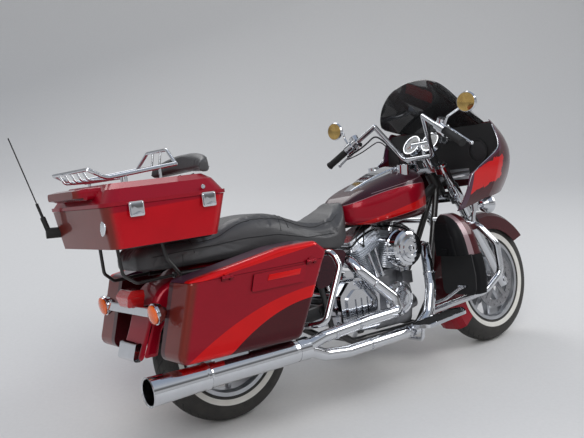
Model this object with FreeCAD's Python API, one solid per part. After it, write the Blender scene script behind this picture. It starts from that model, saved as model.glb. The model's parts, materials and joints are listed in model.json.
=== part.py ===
# Touring cruiser motorcycle, parked on its side stand.
# Lengths are millimetres. The bike is drawn upright: X forward, Y left, Z up, with the rear tyre's
# contact at X 0. Then it is leaned onto its stand and its origin goes to the box's bottom centre.
import FreeCAD, Part
import math
import os

V = FreeCAD.Vector
X, Y, Z = V(1, 0, 0), V(0, 1, 0), V(0, 0, 1)

# Stance
wheelbase = 1612.0
lean = 11.1
steer_rest = 5.0
rake = 26.0
fork_angle = 28.0
seat_gap = 0.3

# Wheels and tyres
tyre_r = 322.0
tyre_half = 65.0
crown_r = 72.0
bead_r = 206.0
rim_wall = 9.0
hub_r = 42.0
hub_half = 58.0
spoke_count = 10
spoke_wide = 17.0
spoke_deep = 26.0
disc_r = 146.0
disc_thick = 5.0
disc_y = 76.0
axle_r = 12.5
axle_fit = 0.05
arm_y = 116.0
arm_thick = 24.0
pivot = V(456, 0, 388)
pulley_r = 105.0
pulley_y = 84.0
belt_wide = 34.0
belt_thick = 5.0

# Front end
leg_y = 120.0
slider_r = 28.0
fork_tube_r = 22.0
slider_top = 660.0
clamp_low_z = 790.0
clamp_top_z = 950.0
clamp_thick = 30.0
neck_r = 30.0
guard_r = 16.0
arm_r = 14.0
stem_r = 15.0
bar_r = 12.7
bar_centre = V(1250, 0, 1009)
bar_rise = V(bar_centre.x, 95, bar_centre.z)
bar_corner = V(1134, 168, 1202)
bar_end = V(1049, 449, 1044)
grip_long = 128.0
grip_r = 17.5
mirror_at = V(1121, 452, 1222)
mirror_wide = 112.0
mirror_tall = 96.0

# Engine
crank = V(890, 0, 372)
case_r = 128.0
case_half = 92.0
v_angle = 45.0
barrel_r = 66.0
fin_r = 84.0
fin_thick = 3.2
fin_pitch = 9.6
fin_count = 13
barrel_base = 128.0
head_base = 256.0
head_long = 44.0
rocker_long = 46.0
head_right = 108.0
head_left = 74.0
cam_r = 84.0
cam_deep = 66.0
rocker_size = (196.0, 142.0)
tappet_y = 114.0
tappet_top = 108.0
cleaner_at = V(905, -168, 602)
cleaner_r = 90.0
cleaner_deep = 84.0

pipe_r = 26.0

# Frame
rail_y = 118.0
rail_r = 13.0
rail_front, rail_back = V(400, rail_y, 655), V(-245, rail_y, 668)
upright_y = 146.0
upright_r = 13.0
cradle_y = 128.0
cradle_z = 216.0
cradle_r = 16.0
backbone_r = 24.0
BACKBONE = [(1330, 0, 855), (1190, 0, 760), (700, 0, 744), (470, 0, 640)]

# Bodywork
seat_pan_half = 137.0
seat_pan_z = 685.0
fender_top = 691.0
fender_half = rail_y - rail_r - seat_gap
tank_tunnel_half = 38.0
tank_tunnel_top = 792.0
shell = 4.0
bag_out = 392.0
bag_in = 228.0
bag_round = 20.0
latch_proud = 8.0

bag_wall = 4.0
lid_line = 655.0
lid_gap = 1.5
hinge_r = 6.5
hinge_pin_r = 3.0
case_half_wide = 305.0
case_low = 815.0
case_line = 970.0
case_wall = 4.5
lid_opening = 95.0
case_opening = 85.0
bag_hinge = (-bag_out - 7, lid_line + 0.75)
case_hinge = (case_half_wide + 10, case_line + 0.75)

# Side stand, in the leaned frame of the floor
stand_pivot = V(880, 176, 196)
stand_reach = V(50, 130)
stand_axis = V(0, 0.841, 0.541)
stand_r = 11.0
stand_pin_r = 8.0
stand_slot = 17.0
foot_r = 30.0
foot_thick = 8.0


def at(x, y, z):
    return V(x, y, z)


def mirror(shape):
    """The same piece on the other side of the bike."""
    return shape.mirror(V(0, 0, 0), Y)


def both(shape):
    return Part.makeCompound([shape, mirror(shape)])


def fused(shapes):
    out = shapes[0]
    if len(shapes) > 1:
        out = out.multiFuse(shapes[1:])
    return out.removeSplitter()


def rod(p, q, r):
    return Part.makeCylinder(r, (q - p).Length, p, q - p)


def ring(p, q, outer, inner):
    return rod(p, q, outer).cut(rod(p, q, inner))


def rounded(points, radii, put):
    """A closed wire through flat points (u, v) with an arc of the given radius at each corner."""
    n = len(points)
    if not isinstance(radii, (list, tuple)):
        radii = [radii] * n
    flat = [V(u, v, 0) for u, v in points]
    edges, starts = [], []
    for i in range(n):
        a, b, c = flat[i - 1], flat[i], flat[(i + 1) % n]
        to_a, to_c = (a - b).normalize(), (c - b).normalize()
        half = to_a.getAngle(to_c) / 2
        back = radii[i] / math.tan(half)
        middle = (to_a + to_c).normalize()
        centre = b + middle * (radii[i] / math.sin(half))
        starts.append((b + to_a * back, centre - middle * radii[i], b + to_c * back))
    for i in range(n):
        p, m, q = [put(s.x, s.y) for s in starts[i]]
        edges.append(Part.Arc(p, m, q).toShape())
        after = put(starts[(i + 1) % n][0].x, starts[(i + 1) % n][0].y)
        if (after - q).Length > 1e-4:
            edges.append(Part.LineSegment(q, after).toShape())
    return Part.Wire(edges)


def side_plate(points, radii, y0, y1):
    """A plate whose outline is given in X and Z, from y0 to y1."""
    wire = rounded(points, radii, lambda u, v: V(u, y0, v))
    return Part.Face(wire).extrude(V(0, y1 - y0, 0))


def box_section(x, half, low, high, r_low, r_high, mid=0.0):
    """A rounded section across the bike at x, with its centre at y = mid."""
    points = [(mid - half, low), (mid + half, low), (mid + half, high), (mid - half, high)]
    return rounded(points, [r_low, r_low, r_high, r_high], lambda u, v: V(x, u, v))


def loft(wires, ruled=False):
    return Part.makeLoft(wires, True, ruled)


def path(points, bend):
    """Straight runs joined by tangent arcs."""
    edges, last = [], points[0]
    for i in range(1, len(points) - 1):
        a, b, c = points[i - 1], points[i], points[i + 1]
        to_a, to_c = (a - b).normalize(), (c - b).normalize()
        half = to_a.getAngle(to_c) / 2
        back = min(bend / math.tan(half), 0.48 * min((a - b).Length, (c - b).Length))
        r = back * math.tan(half)
        middle = (to_a + to_c).normalize()
        centre = b + middle * (r / math.sin(half))
        p, q = b + to_a * back, b + to_c * back
        if (p - last).Length > 1e-3:
            edges.append(Part.LineSegment(last, p).toShape())
        edges.append(Part.Arc(p, centre - middle * r, q).toShape())
        last = q
    edges.append(Part.LineSegment(last, points[-1]).toShape())
    return Part.Wire(edges)


def tube(points, r, bend=40.0):
    points = [V(*p) if isinstance(p, tuple) else p for p in points]
    spine = path(points, bend)
    start = Part.Wire(Part.makeCircle(r, points[0], points[1] - points[0]))
    return spine.makePipeShell([start], True, False)


def turned(points, centre, axis, angle=360.0):
    """A solid of revolution: points are (radius, along the axis)."""
    side = V(0, 0, 1) if abs(axis.z) < 0.9 else V(1, 0, 0)
    side = (side - axis * side.dot(axis)).normalize()
    ends = [centre + side * r + axis * s for r, s in points]
    wire = Part.makePolygon(ends + [ends[0]])
    return Part.Face(wire).revolve(centre, axis, angle)


def steering_line(z):
    return V(wheelbase - (z - tyre_r) * math.tan(math.radians(rake)), 0, z)


def leg_line(z, y):
    return V(wheelbase - (z - tyre_r) * math.tan(math.radians(fork_angle)), y, z)


steering_dir = V(-math.sin(math.radians(rake)), 0, math.cos(math.radians(rake)))
leg_dir = V(-math.sin(math.radians(fork_angle)), 0, math.cos(math.radians(fork_angle)))
rear_hub = V(0, 0, tyre_r)
front_hub = V(wheelbase, 0, tyre_r)


def tyre(hub):
    """Tread, shoulders, sidewalls and beads of one tyre."""
    shoulder = crown_r * math.sin(math.radians(46))
    drop = crown_r * (1 - math.cos(math.radians(46)))
    widest = (tyre_r + bead_r) / 2
    put = lambda r, s: hub + V(0, s, r)
    bead = tyre_half - 14
    edges = [
        Part.Arc(put(tyre_r - drop, -shoulder), put(tyre_r, 0), put(tyre_r - drop, shoulder)),
        Part.Arc(put(tyre_r - drop, shoulder), put(widest + 6, tyre_half), put(bead_r, bead)),
        Part.LineSegment(put(bead_r, bead), put(bead_r, -bead)),
        Part.Arc(put(bead_r, -bead), put(widest + 6, -tyre_half), put(tyre_r - drop, -shoulder)),
    ]
    face = Part.Face(Part.Wire([e.toShape() for e in edges]))
    return face.revolve(hub, Y, 360)


def wheel(hub):
    """Cast wheel: rim with its flanges, slim spokes and a hub."""
    rim_out, flange = bead_r - seat_gap, bead_r + 7
    rim_in = rim_out - rim_wall
    half = tyre_half - 8
    rim = turned(
        [(rim_in - 8, -half + 22), (rim_in - 8, half - 22), (rim_in, half - 6), (rim_in, half + 4),
         (flange, half + 4), (flange, half), (rim_out, half), (rim_out, -half),
         (flange, -half), (flange, -half - 4), (rim_in, -half - 4), (rim_in, -half + 6)],
        hub, Y)
    core = turned(
        [(axle_r + axle_fit, -hub_half), (hub_r - 10, -hub_half), (hub_r, -hub_half + 12),
         (hub_r, hub_half - 12), (hub_r - 10, hub_half), (axle_r + axle_fit, hub_half)], hub, Y)

    def bar(r, wide, deep, round_r):
        corners = [(-wide, -deep), (wide, -deep), (wide, deep), (-wide, deep)]
        return rounded(corners, round_r, lambda u, v: hub + V(u, v, r))

    spokes = []
    for i in range(spoke_count):
        spoke = loft([bar(hub_r - 6, spoke_wide, spoke_deep, 6), bar(rim_in - 4, spoke_wide / 2, spoke_deep / 2, 4)], True)
        spoke.rotate(hub, Y, 360.0 * i / spoke_count)
        spokes.append(spoke)
    return fused([rim, core] + spokes)


def brake_disc(hub, y):
    """A drilled disc with its carrier seated on the hub's end."""
    sign = 1 if y > 0 else -1
    plate = ring(hub + V(0, y - disc_thick / 2, 0), hub + V(0, y + disc_thick / 2, 0), disc_r, disc_r - 38)
    holes = []
    for i in range(16):
        a = math.radians(i * 22.5)
        for k, r in enumerate((disc_r - 28, disc_r - 12)):
            a2 = a + k * math.radians(11.25)
            p = hub + V(r * math.cos(a2), y - disc_thick, r * math.sin(a2))
            holes.append(rod(p, p + V(0, 2 * disc_thick, 0), 4))
    plate = plate.cut(Part.makeCompound(holes))
    arms = []
    for i in range(5):
        arm = Part.makeBox(26, disc_thick - 1, disc_r - 60, hub + V(-13, y - disc_thick / 2 + 0.5, 28))
        arm.rotate(hub, Y, 72 * i)
        arms.append(arm)
    seat = ring(hub + V(0, sign * (hub_half + 0.2), 0), hub + V(0, y + sign * disc_thick / 2, 0), 36, axle_r + 6)
    return fused([plate, seat] + arms)


def rear_pulley():
    """The toothed belt wheel on the rear hub's left side."""
    c = rear_hub
    body = ring(c + V(0, hub_half + 0.2, 0), c + V(0, pulley_y + belt_wide / 2 + 2, 0), 38, axle_r + 6)
    rim = ring(c + V(0, pulley_y - belt_wide / 2, 0), c + V(0, pulley_y + belt_wide / 2, 0), pulley_r, pulley_r - 12)
    arms = []
    for i in range(6):
        arm = Part.makeBox(18, 12, pulley_r - 38, c + V(-9, pulley_y - 6, 32))
        arm.rotate(c, Y, 60 * i)
        arms.append(arm)
    return fused([body, rim] + arms)


def straddle(hub, turn, side):
    """A brake caliper that straddles a disc, turned about the hub."""
    y = side * disc_y
    body = side_plate([(-52, 96), (52, 96), (46, 160), (-46, 160)], 16, y - 28, y + 19)
    slot = ring(V(0, y - disc_thick / 2 - 2, 0), V(0, y + disc_thick / 2 + 2, 0), disc_r + 4, 60)
    body = body.cut(slot)
    body.rotate(V(0, 0, 0), Y, turn)
    body.translate(hub)
    return body


def rear_axle():
    """Axle through both swing arms, with its nuts and the brake caliper on its carrier."""
    end = arm_y + arm_thick / 2
    spindle = rod(V(0, -end, tyre_r), V(0, end, tyre_r), axle_r)
    nuts = [rod(V(0, s * end, tyre_r), V(0, s * (end + 15), tyre_r), 19) for s in (-1, 1)]
    inner = -arm_y + arm_thick / 2 + seat_gap
    carrier = side_plate([(-24, tyre_r - 24), (24, tyre_r - 24), (48, tyre_r + 130), (-24, tyre_r + 130)],
                         10, inner, inner + 8)
    return fused([spindle] + nuts + [carrier, straddle(rear_hub, 10, -1)])


def swingarm():
    """Two box arms joined by the pivot tube and a brace inside the belt's loop."""
    arms = []
    for s in (-1, 1):
        y = s * arm_y
        arm = side_plate([(-42, tyre_r - 30), (pivot.x - 20, pivot.z - 32), (pivot.x + 30, pivot.z - 28),
                          (pivot.x + 30, pivot.z + 28), (-42, tyre_r + 30)], [14, 60, 20, 20, 14],
                         y - arm_thick / 2, y + arm_thick / 2)
        arms.append(arm.cut(rod(V(0, y - 20, tyre_r), V(0, y + 20, tyre_r), axle_r + axle_fit)))
    reach = upright_y - upright_r - seat_gap
    cross = rod(pivot - V(0, reach, 0), pivot + V(0, reach, 0), 22)
    brace = Part.makeBox(34, 2 * arm_y, 40, V(384, -arm_y, 352))
    return fused(arms + [cross, brace])


def rear_shocks():
    """Air shock absorbers, one each side, from the swing arm to the frame rail."""
    low, high = V(52, 157, tyre_r + 8), V(190, 157, rail_z(190))
    d = (high - low).normalize()
    body = rod(low, low + d * 160, 27)
    upper = rod(low + d * 160, high, 21)
    low_pin = rod(V(low.x, arm_y + arm_thick / 2 + seat_gap, low.z), low + V(0, 14, 0), 12)
    high_pin = rod(V(high.x, rail_y + rail_r + seat_gap, high.z), high + V(0, 14, 0), 12)
    return both(fused([body, upper, low_pin, high_pin]))


def drive_belt():
    """The belt's loop from the gearbox pulley to the rear wheel."""
    small_r, small = 48.0, V(540, pulley_y, 388)
    big = V(0, pulley_y, tyre_r)
    gap = 0.3
    d = big - small
    tilt = math.atan2(d.z, d.x)
    spread = math.acos((small_r - pulley_r) / d.Length)
    out = []
    for extra in (gap + belt_thick, gap):
        pts = []
        for c, r in ((small, small_r + extra), (big, pulley_r + extra)):
            pts.append([c + V(r * math.cos(tilt + s * spread), 0,
                              r * math.sin(tilt + s * spread)) for s in (-1, 1)])
        (s1, s2), (b1, b2) = pts
        far_small = small + V(-(small_r + extra) * math.cos(tilt), 0, -(small_r + extra) * math.sin(tilt))
        far_big = big + V((pulley_r + extra) * math.cos(tilt), 0, (pulley_r + extra) * math.sin(tilt))
        wire = Part.Wire([Part.Arc(s1, far_small, s2).toShape(), Part.LineSegment(s2, b2).toShape(),
                          Part.Arc(b2, far_big, b1).toShape(), Part.LineSegment(b1, s1).toShape()])
        out.append(Part.Face(wire).extrude(V(0, belt_wide - 4, 0)))
    loop = out[0].cut(out[1])
    loop.translate(V(0, -(belt_wide - 4) / 2, 0))
    return loop


def rail_z(x):
    """Height of the rear rail's centre line."""
    return rail_front.z + (rail_front.x - x) * (rail_back.z - rail_front.z) / (rail_front.x - rail_back.x)


def cradle(s, r):
    """One down tube, its cradle run and its rise to the upright."""
    return tube([(1338, s * 12, 845), (1215, s * 60, 560), (1112, s * 112, 330), (1010, s * 122, cradle_z),
                 (600, s * cradle_y, cradle_z), (480, s * upright_y, 290)], r, 70)


def frame_tubes():
    """Neck, backbone, two down tubes with the cradle and uprights, and the rear rails."""
    neck_low, neck_high = steering_line(clamp_low_z + 24), steering_line(clamp_top_z - 24)
    parts = [ring(neck_low, neck_high, neck_r, stem_r + 1), tube(BACKBONE, backbone_r, 120)]
    for s in (-1, 1):
        parts.append(cradle(s, cradle_r))
        parts.append(tube([(480, s * upright_y, 290), (440, s * upright_y, 520), (470, s * 110, 652), (480, s * 20, 652)],
                          upright_r, 40))
        front = V(rail_front.x, s * rail_y, rail_front.z)
        parts.append(tube([(470, s * 60, 652), front, (rail_back.x, s * rail_y, rail_back.z)], rail_r, 40))
    parts += [rod(V(x, -cradle_y, cradle_z), V(x, cradle_y, cradle_z), 13) for x in (1020, 620)]
    parts.append(rod(V(300, -rail_y, rail_z(300)), V(300, rail_y, rail_z(300)), 11))
    return fused(parts).cut(rod(neck_low, neck_high, stem_r + 1))


def crankcase():
    """Crankcase with the cam cover, tappet blocks and the spin-on oil filter."""
    body = rod(crank - V(0, case_half, 0), crank + V(0, case_half, 0), case_r)
    sump = side_plate([(760, 232), (1000, 232), (1020, 330), (980, 470), (800, 470), (742, 330)], 22, -case_half, case_half)
    cover = turned([(0, -1), (cam_r, -1), (cam_r, 40), (cam_r - 8, 50), (cam_r - 22, 54), (cam_r - 24, cam_deep - 8),
                    (cam_r - 44, cam_deep - 8), (cam_r - 46, cam_deep), (0, cam_deep)],
                   crank + V(12, -case_half, -12), V(0, -1, 0))
    tappets = [Part.makeBox(62, 42, 58, crank + V(75 * s - 31, -tappet_y - 21, tappet_top - 58)) for s in (-1, 1)]
    filter_can = rod(V(1000, -30, 300), V(1072, -30, 316), 38)
    mouth = rod(crank + V(0, -120, 0), crank + V(0, 120, 0), 4)
    return fused([body, sump, cover] + tappets + [filter_can]).cut(mouth)


def leg_axes(sign):
    """Directions along one cylinder and across it, in the bike's side view."""
    a = math.radians(sign * v_angle / 2)
    return V(math.sin(a), 0, math.cos(a)), V(math.cos(a), 0, -math.sin(a))


def leg_block(sign, long, y0, y1, low, high, r):
    """A rounded block across one cylinder, from low to high along it."""
    corners = [(-long / 2, y0), (long / 2, y0), (long / 2, y1), (-long / 2, y1)]
    out = Part.Face(rounded(corners, r, lambda u, v: V(u, v, low))).extrude(V(0, 0, high - low))
    out.rotate(V(0, 0, 0), Y, sign * v_angle / 2)
    out.translate(crank)
    return out


def port(sign):
    """Mouth of one exhaust port and the way it points."""
    up, across = leg_axes(sign)
    return crank + up * (head_base + 22) + across * (sign * 113) + V(0, -54, 0), V(sign * 0.72, -0.66, -0.2).normalize()


def one_cylinder(sign):
    """Finned barrel, head with its own fins, a rocker box and the exhaust port, along one leg of the V."""
    up, across = leg_axes(sign)
    parts = [rod(crank + up * (barrel_base + 1.5), crank + up * (head_base + 1), barrel_r)]
    for i in range(fin_count):
        p = crank + up * (barrel_base + 10 + fin_pitch * i)
        parts.append(rod(p, p + up * fin_thick, fin_r - 8 + 0.7 * i))
    deck = head_base + head_long
    parts.append(leg_block(sign, 150, -head_right + 10, head_left - 10, head_base, deck, 26))
    for i in range(4):
        low = head_base + i * (head_long / 4)
        parts.append(leg_block(sign, 172 + 3 * i, -head_right, head_left, low, low + 4, 28))
    for inset, low, high in ((0, 0, 14), (7, 14, rocker_long - 12), (13, rocker_long - 12, rocker_long)):
        parts.append(leg_block(sign, rocker_size[0] - 2 * inset, -head_right + 14 + inset, head_left - inset,
                               deck + low, deck + high, 20))
    mouth, way = port(sign)
    parts.append(rod(mouth - way * 50, mouth, 25))
    return fused(parts)


def cylinders():
    return Part.makeCompound([one_cylinder(-1), one_cylinder(1)])


def pushrod_tubes():
    """Four covers, two to each cylinder, from the tappet blocks to the heads."""
    out = []
    for s in (-1, 1):
        up, across = leg_axes(s)
        head = leg_block(s, 400, -200, 200, head_base - seat_gap, head_base + 60, 5)
        for k, w in ((0, -30), (1, 20)):
            low = crank + V(s * (60 + 30 * k), -tappet_y, tappet_top + seat_gap)
            high = crank + up * (head_base + 12) + across * (s * w) - V(0, 95, 0)
            d = (high - low).normalize()
            cover = fused([rod(low, high, 9), rod(low, low + d * 22, 13), rod(high - d * 52, high, 11)])
            foot = Part.makeBox(80, 80, 20, low - V(40, 40, 20))
            out.append(cover.cut(head).cut(foot))
    return Part.makeCompound(out)


def air_cleaner():
    """Round cover with a stepped dome, on its backing plate, with two bolts to the heads."""
    c, r = cleaner_at, cleaner_r
    deep = cleaner_deep
    cover = turned([(0, 0), (r, 0), (r, 12), (r - 5, 18), (r - 5, deep - 26), (r - 12, deep - 16), (r - 24, deep - 11),
                    (r - 26, deep - 6), (r - 42, deep - 3), (r - 44, deep + 2), (r - 58, deep + 4), (r - 60, deep - 1),
                    (r - 76, deep - 1), (r - 78, deep + 6), (0, deep + 8)], c, V(0, -1, 0))
    parts = [cover, rod(c + V(0, 8, 0), c, r - 8), rod(c + V(0, 44, -10), c + V(0, 8, -10), 26)]
    for s in (-1, 1):
        up, across = leg_axes(s)
        at_head = crank + up * (head_base + 20) - across * (s * 58)
        parts.append(rod(V(at_head.x, c.y + 2, at_head.z), V(at_head.x, -head_right - seat_gap, at_head.z), 9))
    return fused(parts)


def transmission_case():
    """Gearbox with its ribbed side cover, the starter above it and the belt's small pulley."""
    left = pulley_y - belt_wide / 2 - 3
    body = side_plate([(505, 302), (612, 262), (730, 250), (738, 420), (700, 500), (560, 508), (500, 450)], 20, -150, left)
    cover = side_plate([(512, 310), (606, 276), (722, 270), (734, 412), (690, 488), (570, 502), (508, 440)], 30, -192, -150)
    lip = side_plate([(540, 312), (700, 304), (712, 402), (672, 452), (585, 462), (538, 425)], 24, -203, -192)
    slots = [Part.makeBox(9, 14, 84, V(578 + 34 * i, -206, 336)) for i in range(3)]
    starter = rod(V(620, -120, 506), V(620, left, 506), 34)
    pulley = rod(V(540, left, 388), V(540, pulley_y + belt_wide / 2, 388), 48)
    return fused([body, cover, lip, starter, pulley]).cut(Part.makeCompound(slots))


def primary_cover():
    """Long oval cover over the clutch and primary chain on the left."""
    outline = [(506, 302), (612, 262), (990, 262), (1020, 372), (960, 480), (560, 500), (492, 400)]
    low = side_plate(outline, [30, 40, 62, 62, 62, 62, 50], case_half + 12, case_half + 92)
    top = side_plate([(560, 300), (950, 300), (975, 372), (935, 445), (590, 455), (548, 385)], 46,
                     case_half + 92, case_half + 106)
    clutch = rod(V(640, case_half + 100, 380), V(640, case_half + 122, 380), 78)
    stator = rod(V(890, case_half + 100, 372), V(890, case_half + 118, 372), 58)
    boss = side_plate([(650, 300), (960, 290), (960, 440), (650, 440)], 20, case_half + seat_gap, case_half + 14)
    return fused([low, top, clutch, stator, boss])


def exhaust_pipes():
    """Rear and front header pipes under their heat shields, up to the collector."""
    pipes = []
    routes = {
        -1: [(592, -176, 592), (606, -220, 548), (752, -272, 398), (758, -284, 340), (560, -300, 336),
             (300, -322, 322), (196, -330, 300)],
        1: [(1090, -148, 572), (1046, -196, 520), (1000, -250, 400), (952, -268, 288), (868, -276, 234),
            (430, -306, 228), (300, -322, 246), (196, -330, 292)]}
    for s, bend in ((-1, 46), (1, 90)):
        mouth, way = port(s)
        start = mouth + way * seat_gap
        first = start + way * 58
        pipes.append(tube([start, first] + routes[s], pipe_r, bend))
    merge = loft([Part.Wire(Part.makeCircle(48, V(205, -329, 297), X)),
                  Part.Wire(Part.makeCircle(46, V(150, -331, 297), X))], True)
    return fused(pipes + [merge])


def muffler():
    """Long round silencer with a collar and a hollow flared tip."""
    front, back, tip = V(149, -331, 297), V(-262, -334, 294), V(-505, -336, 291)
    d = (tip - front).normalize()
    body = turned([(0, 0), (45, 0), (48, 20), (48, 405), (50, 412), (53, 416), (53, 428), (50, 432),
                   (56, 655), (57.5, 657), (55, 659), (49, 655), (45, 560), (0, 560)], front, d)
    hanger = Part.makeBox(150, 26, 20, V(-230, -347, 336))
    return fused([body, hanger])


TANK = [  # x, half width, low, high, lower corner radius, upper corner radius
    (668, 62, 768, 826, 20, 26), (705, 122, 742, 862, 34, 52), (800, 160, 730, 905, 44, 92),
    (960, 174, 728, 950, 48, 112), (1090, 160, 730, 968, 46, 108), (1158, 116, 742, 950, 40, 80),
    (1196, 66, 772, 915, 30, 40)]


def tank_form():
    return loft([box_section(*row) for row in TANK])


def fuel_tank():
    """Wide teardrop tank that straddles the backbone."""
    body = tank_form()
    tunnel = Part.makeBox(520, 2 * tank_tunnel_half, tank_tunnel_top - 600, V(600, -tank_tunnel_half, 600))
    return body.cut(tunnel).cut(tube(BACKBONE, backbone_r + seat_gap, 120))


def tank_console():
    """Bright console along the tank's top with two caps."""
    sections = []
    for x, half, low, high in ((770, 30, 860, 897), (900, 60, 900, 950), (1060, 74, 930, 986), (1176, 56, 925, 984)):
        sections.append(box_section(x, half, low, high, 6, 9))
    body = loft(sections)
    caps = [rod(V(1040, s * 106, 940), V(1040, s * 110, 988), 30) for s in (-1, 1)]
    return fused([body] + caps).cut(tank_form())


SEAT = [  # x, half width, low, high, lower corner radius, upper corner radius
    (-385, 96, 706, 764, 18, 26), (-300, 138, 696, 792, 26, 36), (-40, 150, 692, 800, 30, 40),
    (70, 152, 692, 838, 30, 56), (275, 150, 688, 834, 30, 56), (430, 160, 664, 776, 20, 40),
    (560, 158, 648, 780, 20, 44), (640, 118, 690, 838, 30, 48)]


def fender_crown_space():
    """Room under the seat for the mudguard's crown."""
    return Part.makeBox(660, 220, 100, V(-400, -110, fender_top + seat_gap - 100))


def seat():
    """One long dished seat for rider and passenger."""
    body = loft([box_section(*row) for row in SEAT])
    nose = loft([box_section(640, 118, 690, 838, 30, 48), box_section(664, 84, 770, 858, 20, 34)], True)
    pan = Part.makeBox(420, 2 * seat_pan_half, 100, V(262, -seat_pan_half, seat_pan_z - 100))
    out = fused([body, nose]).cut(pan).cut(tube(BACKBONE, backbone_r + seat_gap, 120))
    return out.cut(fender_crown_space())


BAG_SIDE = [  # x, z and the corner radius of one pannier's outline, seen from the side
    (-402, 362, 36), (150, 352, 44), (298, 640, 60), (326, 684, 24), (270, 731, 30), (110, 729, 240), (-314, 663, 22)]


def bag_form(inset):
    """The right pannier and its lid as one solid, drawn in by a wall's thickness."""
    wire = rounded([row[:2] for row in BAG_SIDE], [row[2] for row in BAG_SIDE], lambda u, v: V(u, 0, v))
    if inset:
        wire = wire.makeOffset2D(-inset)
    body = Part.Face(wire).extrude(V(0, bag_out - bag_in - 2 * inset, 0))
    body.translate(V(0, -bag_out + inset, 0))
    face_edges = [e for e in body.Edges if abs(e.CenterOfMass.y + bag_out - inset) < 0.01]
    return body.makeFillet(bag_round - inset, face_edges)


def bag_half(low, high):
    """The wall of the pannier between two heights."""
    slab = Part.makeBox(900, 400, high - low, V(-500, -500, low))
    return bag_form(0).cut(bag_form(bag_wall)).common(slab)


def saddlebag():
    """Hollow pannier with its latch plate outside and its brackets to the frame rail."""
    latch = side_plate([(-62, 580), (186, 580), (206, 646), (-42, 646)], 7, -bag_out - latch_proud, -bag_out + 1)
    brackets = []
    for x in (-180, 236):
        top = rail_z(x + 40) - rail_r - seat_gap
        brackets.append(Part.makeBox(40, bag_in - rail_y + 6, 22, V(x, -bag_in - 1, top - 22)))
    hinges = [hinge_base(x, bag_hinge, -1) for x in (-160, 232)]
    return fused([bag_half(300, lid_line), latch] + brackets + hinges)


def bag_lid():
    """Crowned hollow lid over the pannier."""
    return fused([bag_half(lid_line + lid_gap, 800)] + [hinge_leaf(x, bag_hinge, -1) for x in (-160, 232)])


def bag_guards():
    """Bright hoops in front of the panniers and the lower rails that hold them."""
    hoop = tube([(404, -rail_y - rail_r - seat_gap, 646), (404, -318, 662), (414, -340, 600), (300, -352, 382),
                 (262, -300, 374), (252, -170, 366)], 14, 40)
    rail = tube([(259, -262, 370), (150, -258, 342.5), (-330, -250, 350.5)], 9, 60)
    return both(fused([hoop, rail]))


def side_covers():
    """Painted covers between the seat and the rear cylinder."""
    plate = side_plate([(404, 490), (470, 500), (560, 575), (590, 640), (470, 664), (410, 640)], 22, -174, -164)
    return both(plate)


def rear_fender():
    """Deep rear mudguard with rolled edges."""
    outline = [(250, 500), (250, 620), (130, fender_top), (-130, fender_top), (-318, 616), (-372, 470), (-424, 352),
               (-340, 352), (-300, 480)]
    radii = [10, 40, 160, 200, 120, 100, 12, 10, 60]
    outer = side_plate(outline, radii, -fender_half, fender_half)
    crown = [e for e in outer.Edges if abs(abs(e.CenterOfMass.y) - fender_half) < 1 and (e.CenterOfMass - rear_hub).Length > 370]
    outer = outer.makeFillet(26, crown)
    inner = rod(rear_hub - V(0, 100, 0), rear_hub + V(0, 100, 0), 362)
    tail = side_plate([(0, 300), (0, 560), (-300, 612), (-364, 470), (-416, 340), (-380, 300)],
                      [5, 5, 100, 100, 5, 5], -100, 100)
    belly = side_plate([(-500, 200), (-200, 200), (-200, 420), (-150, 560), (240, 560), (300, 400), (700, 400), (700, 100), (-500, 100)][:8],
                       3, -200, 200)
    return outer.cut(inner).cut(tail).cut(belly)


lamp_y = 250.0
lamp_r = 42.0


def rear_brightwork():
    """Lamp bar with its two turn lamps, and the bumper on the mudguard's tip."""
    bar = side_plate([(-408, 534), (-390, 532), (-384, 568), (-402, 570)], 5, -lamp_y + 34, lamp_y - 34)
    stems = []
    for s in (-1, 1):
        c = V(-394, s * lamp_y, 552)
        stems.append(turned([(0, -36), (16, -34), (34, -16), (lamp_r, 4), (lamp_r, 12), (lamp_r - 4, 12),
                             (lamp_r - 5, 20), (24, 27), (0, 30)], c, V(-1, 0, -0.12).normalize()))
    stems += [Part.makeBox(60, 20, 24, V(-394, s * 66 - 10, 540)) for s in (-1, 1)]
    lamp_bar = fused([bar] + stems).cut(rear_fender()).cut(tail_lamp())
    lamp_bar = max(lamp_bar.Solids, key=lambda part: part.Volume)
    bumper = side_plate([(-446, 352), (-340, 344), (-338, 366), (-388, 392), (-404, 424), (-424, 420)],
                        [14, 8, 6, 10, 6, 6], -78, 78)
    bumper = bumper.cut(rear_fender()).cut(side_plate([(-421, 330), (-300, 330), (-300, 440), (-372, 470)], 3, -100, 100))
    return Part.makeCompound([lamp_bar, bumper])


def tail_lamp():
    """Stop lamp on the mudguard's back, with its bright side blocks."""
    lens = side_plate([(-420, 560), (-350, 560), (-330, 622), (-404, 630), (-426, 604)], 12, -60, 60)
    back = rounded([(-60, 600), (-34, 560), (0, 552), (34, 560), (60, 600), (56, 640), (-56, 640)], 9,
                   lambda u, v: V(-440, u, v))
    lens = lens.common(Part.Face(back).extrude(V(140, 0, 0)))
    return lens.cut(rear_fender()).cut(Part.makeBox(400, 220, 400, V(-352, -110, 300)))


def case_form(inset, floor):
    """The luggage box body as one solid, drawn in by a wall's thickness and raised by its floor's."""
    def level(z, x0, x1, half, r):
        a, b, h = x0 + inset, x1 - inset, half - inset
        return rounded([(a, -h), (b, -h), (b, h), (a, h)], r - inset, lambda u, v: V(u, v, z))
    return loft([level(case_low + floor, -541, -97, 286, 46), level(case_line, -566, -52, case_half_wide, 56)], True)


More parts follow.
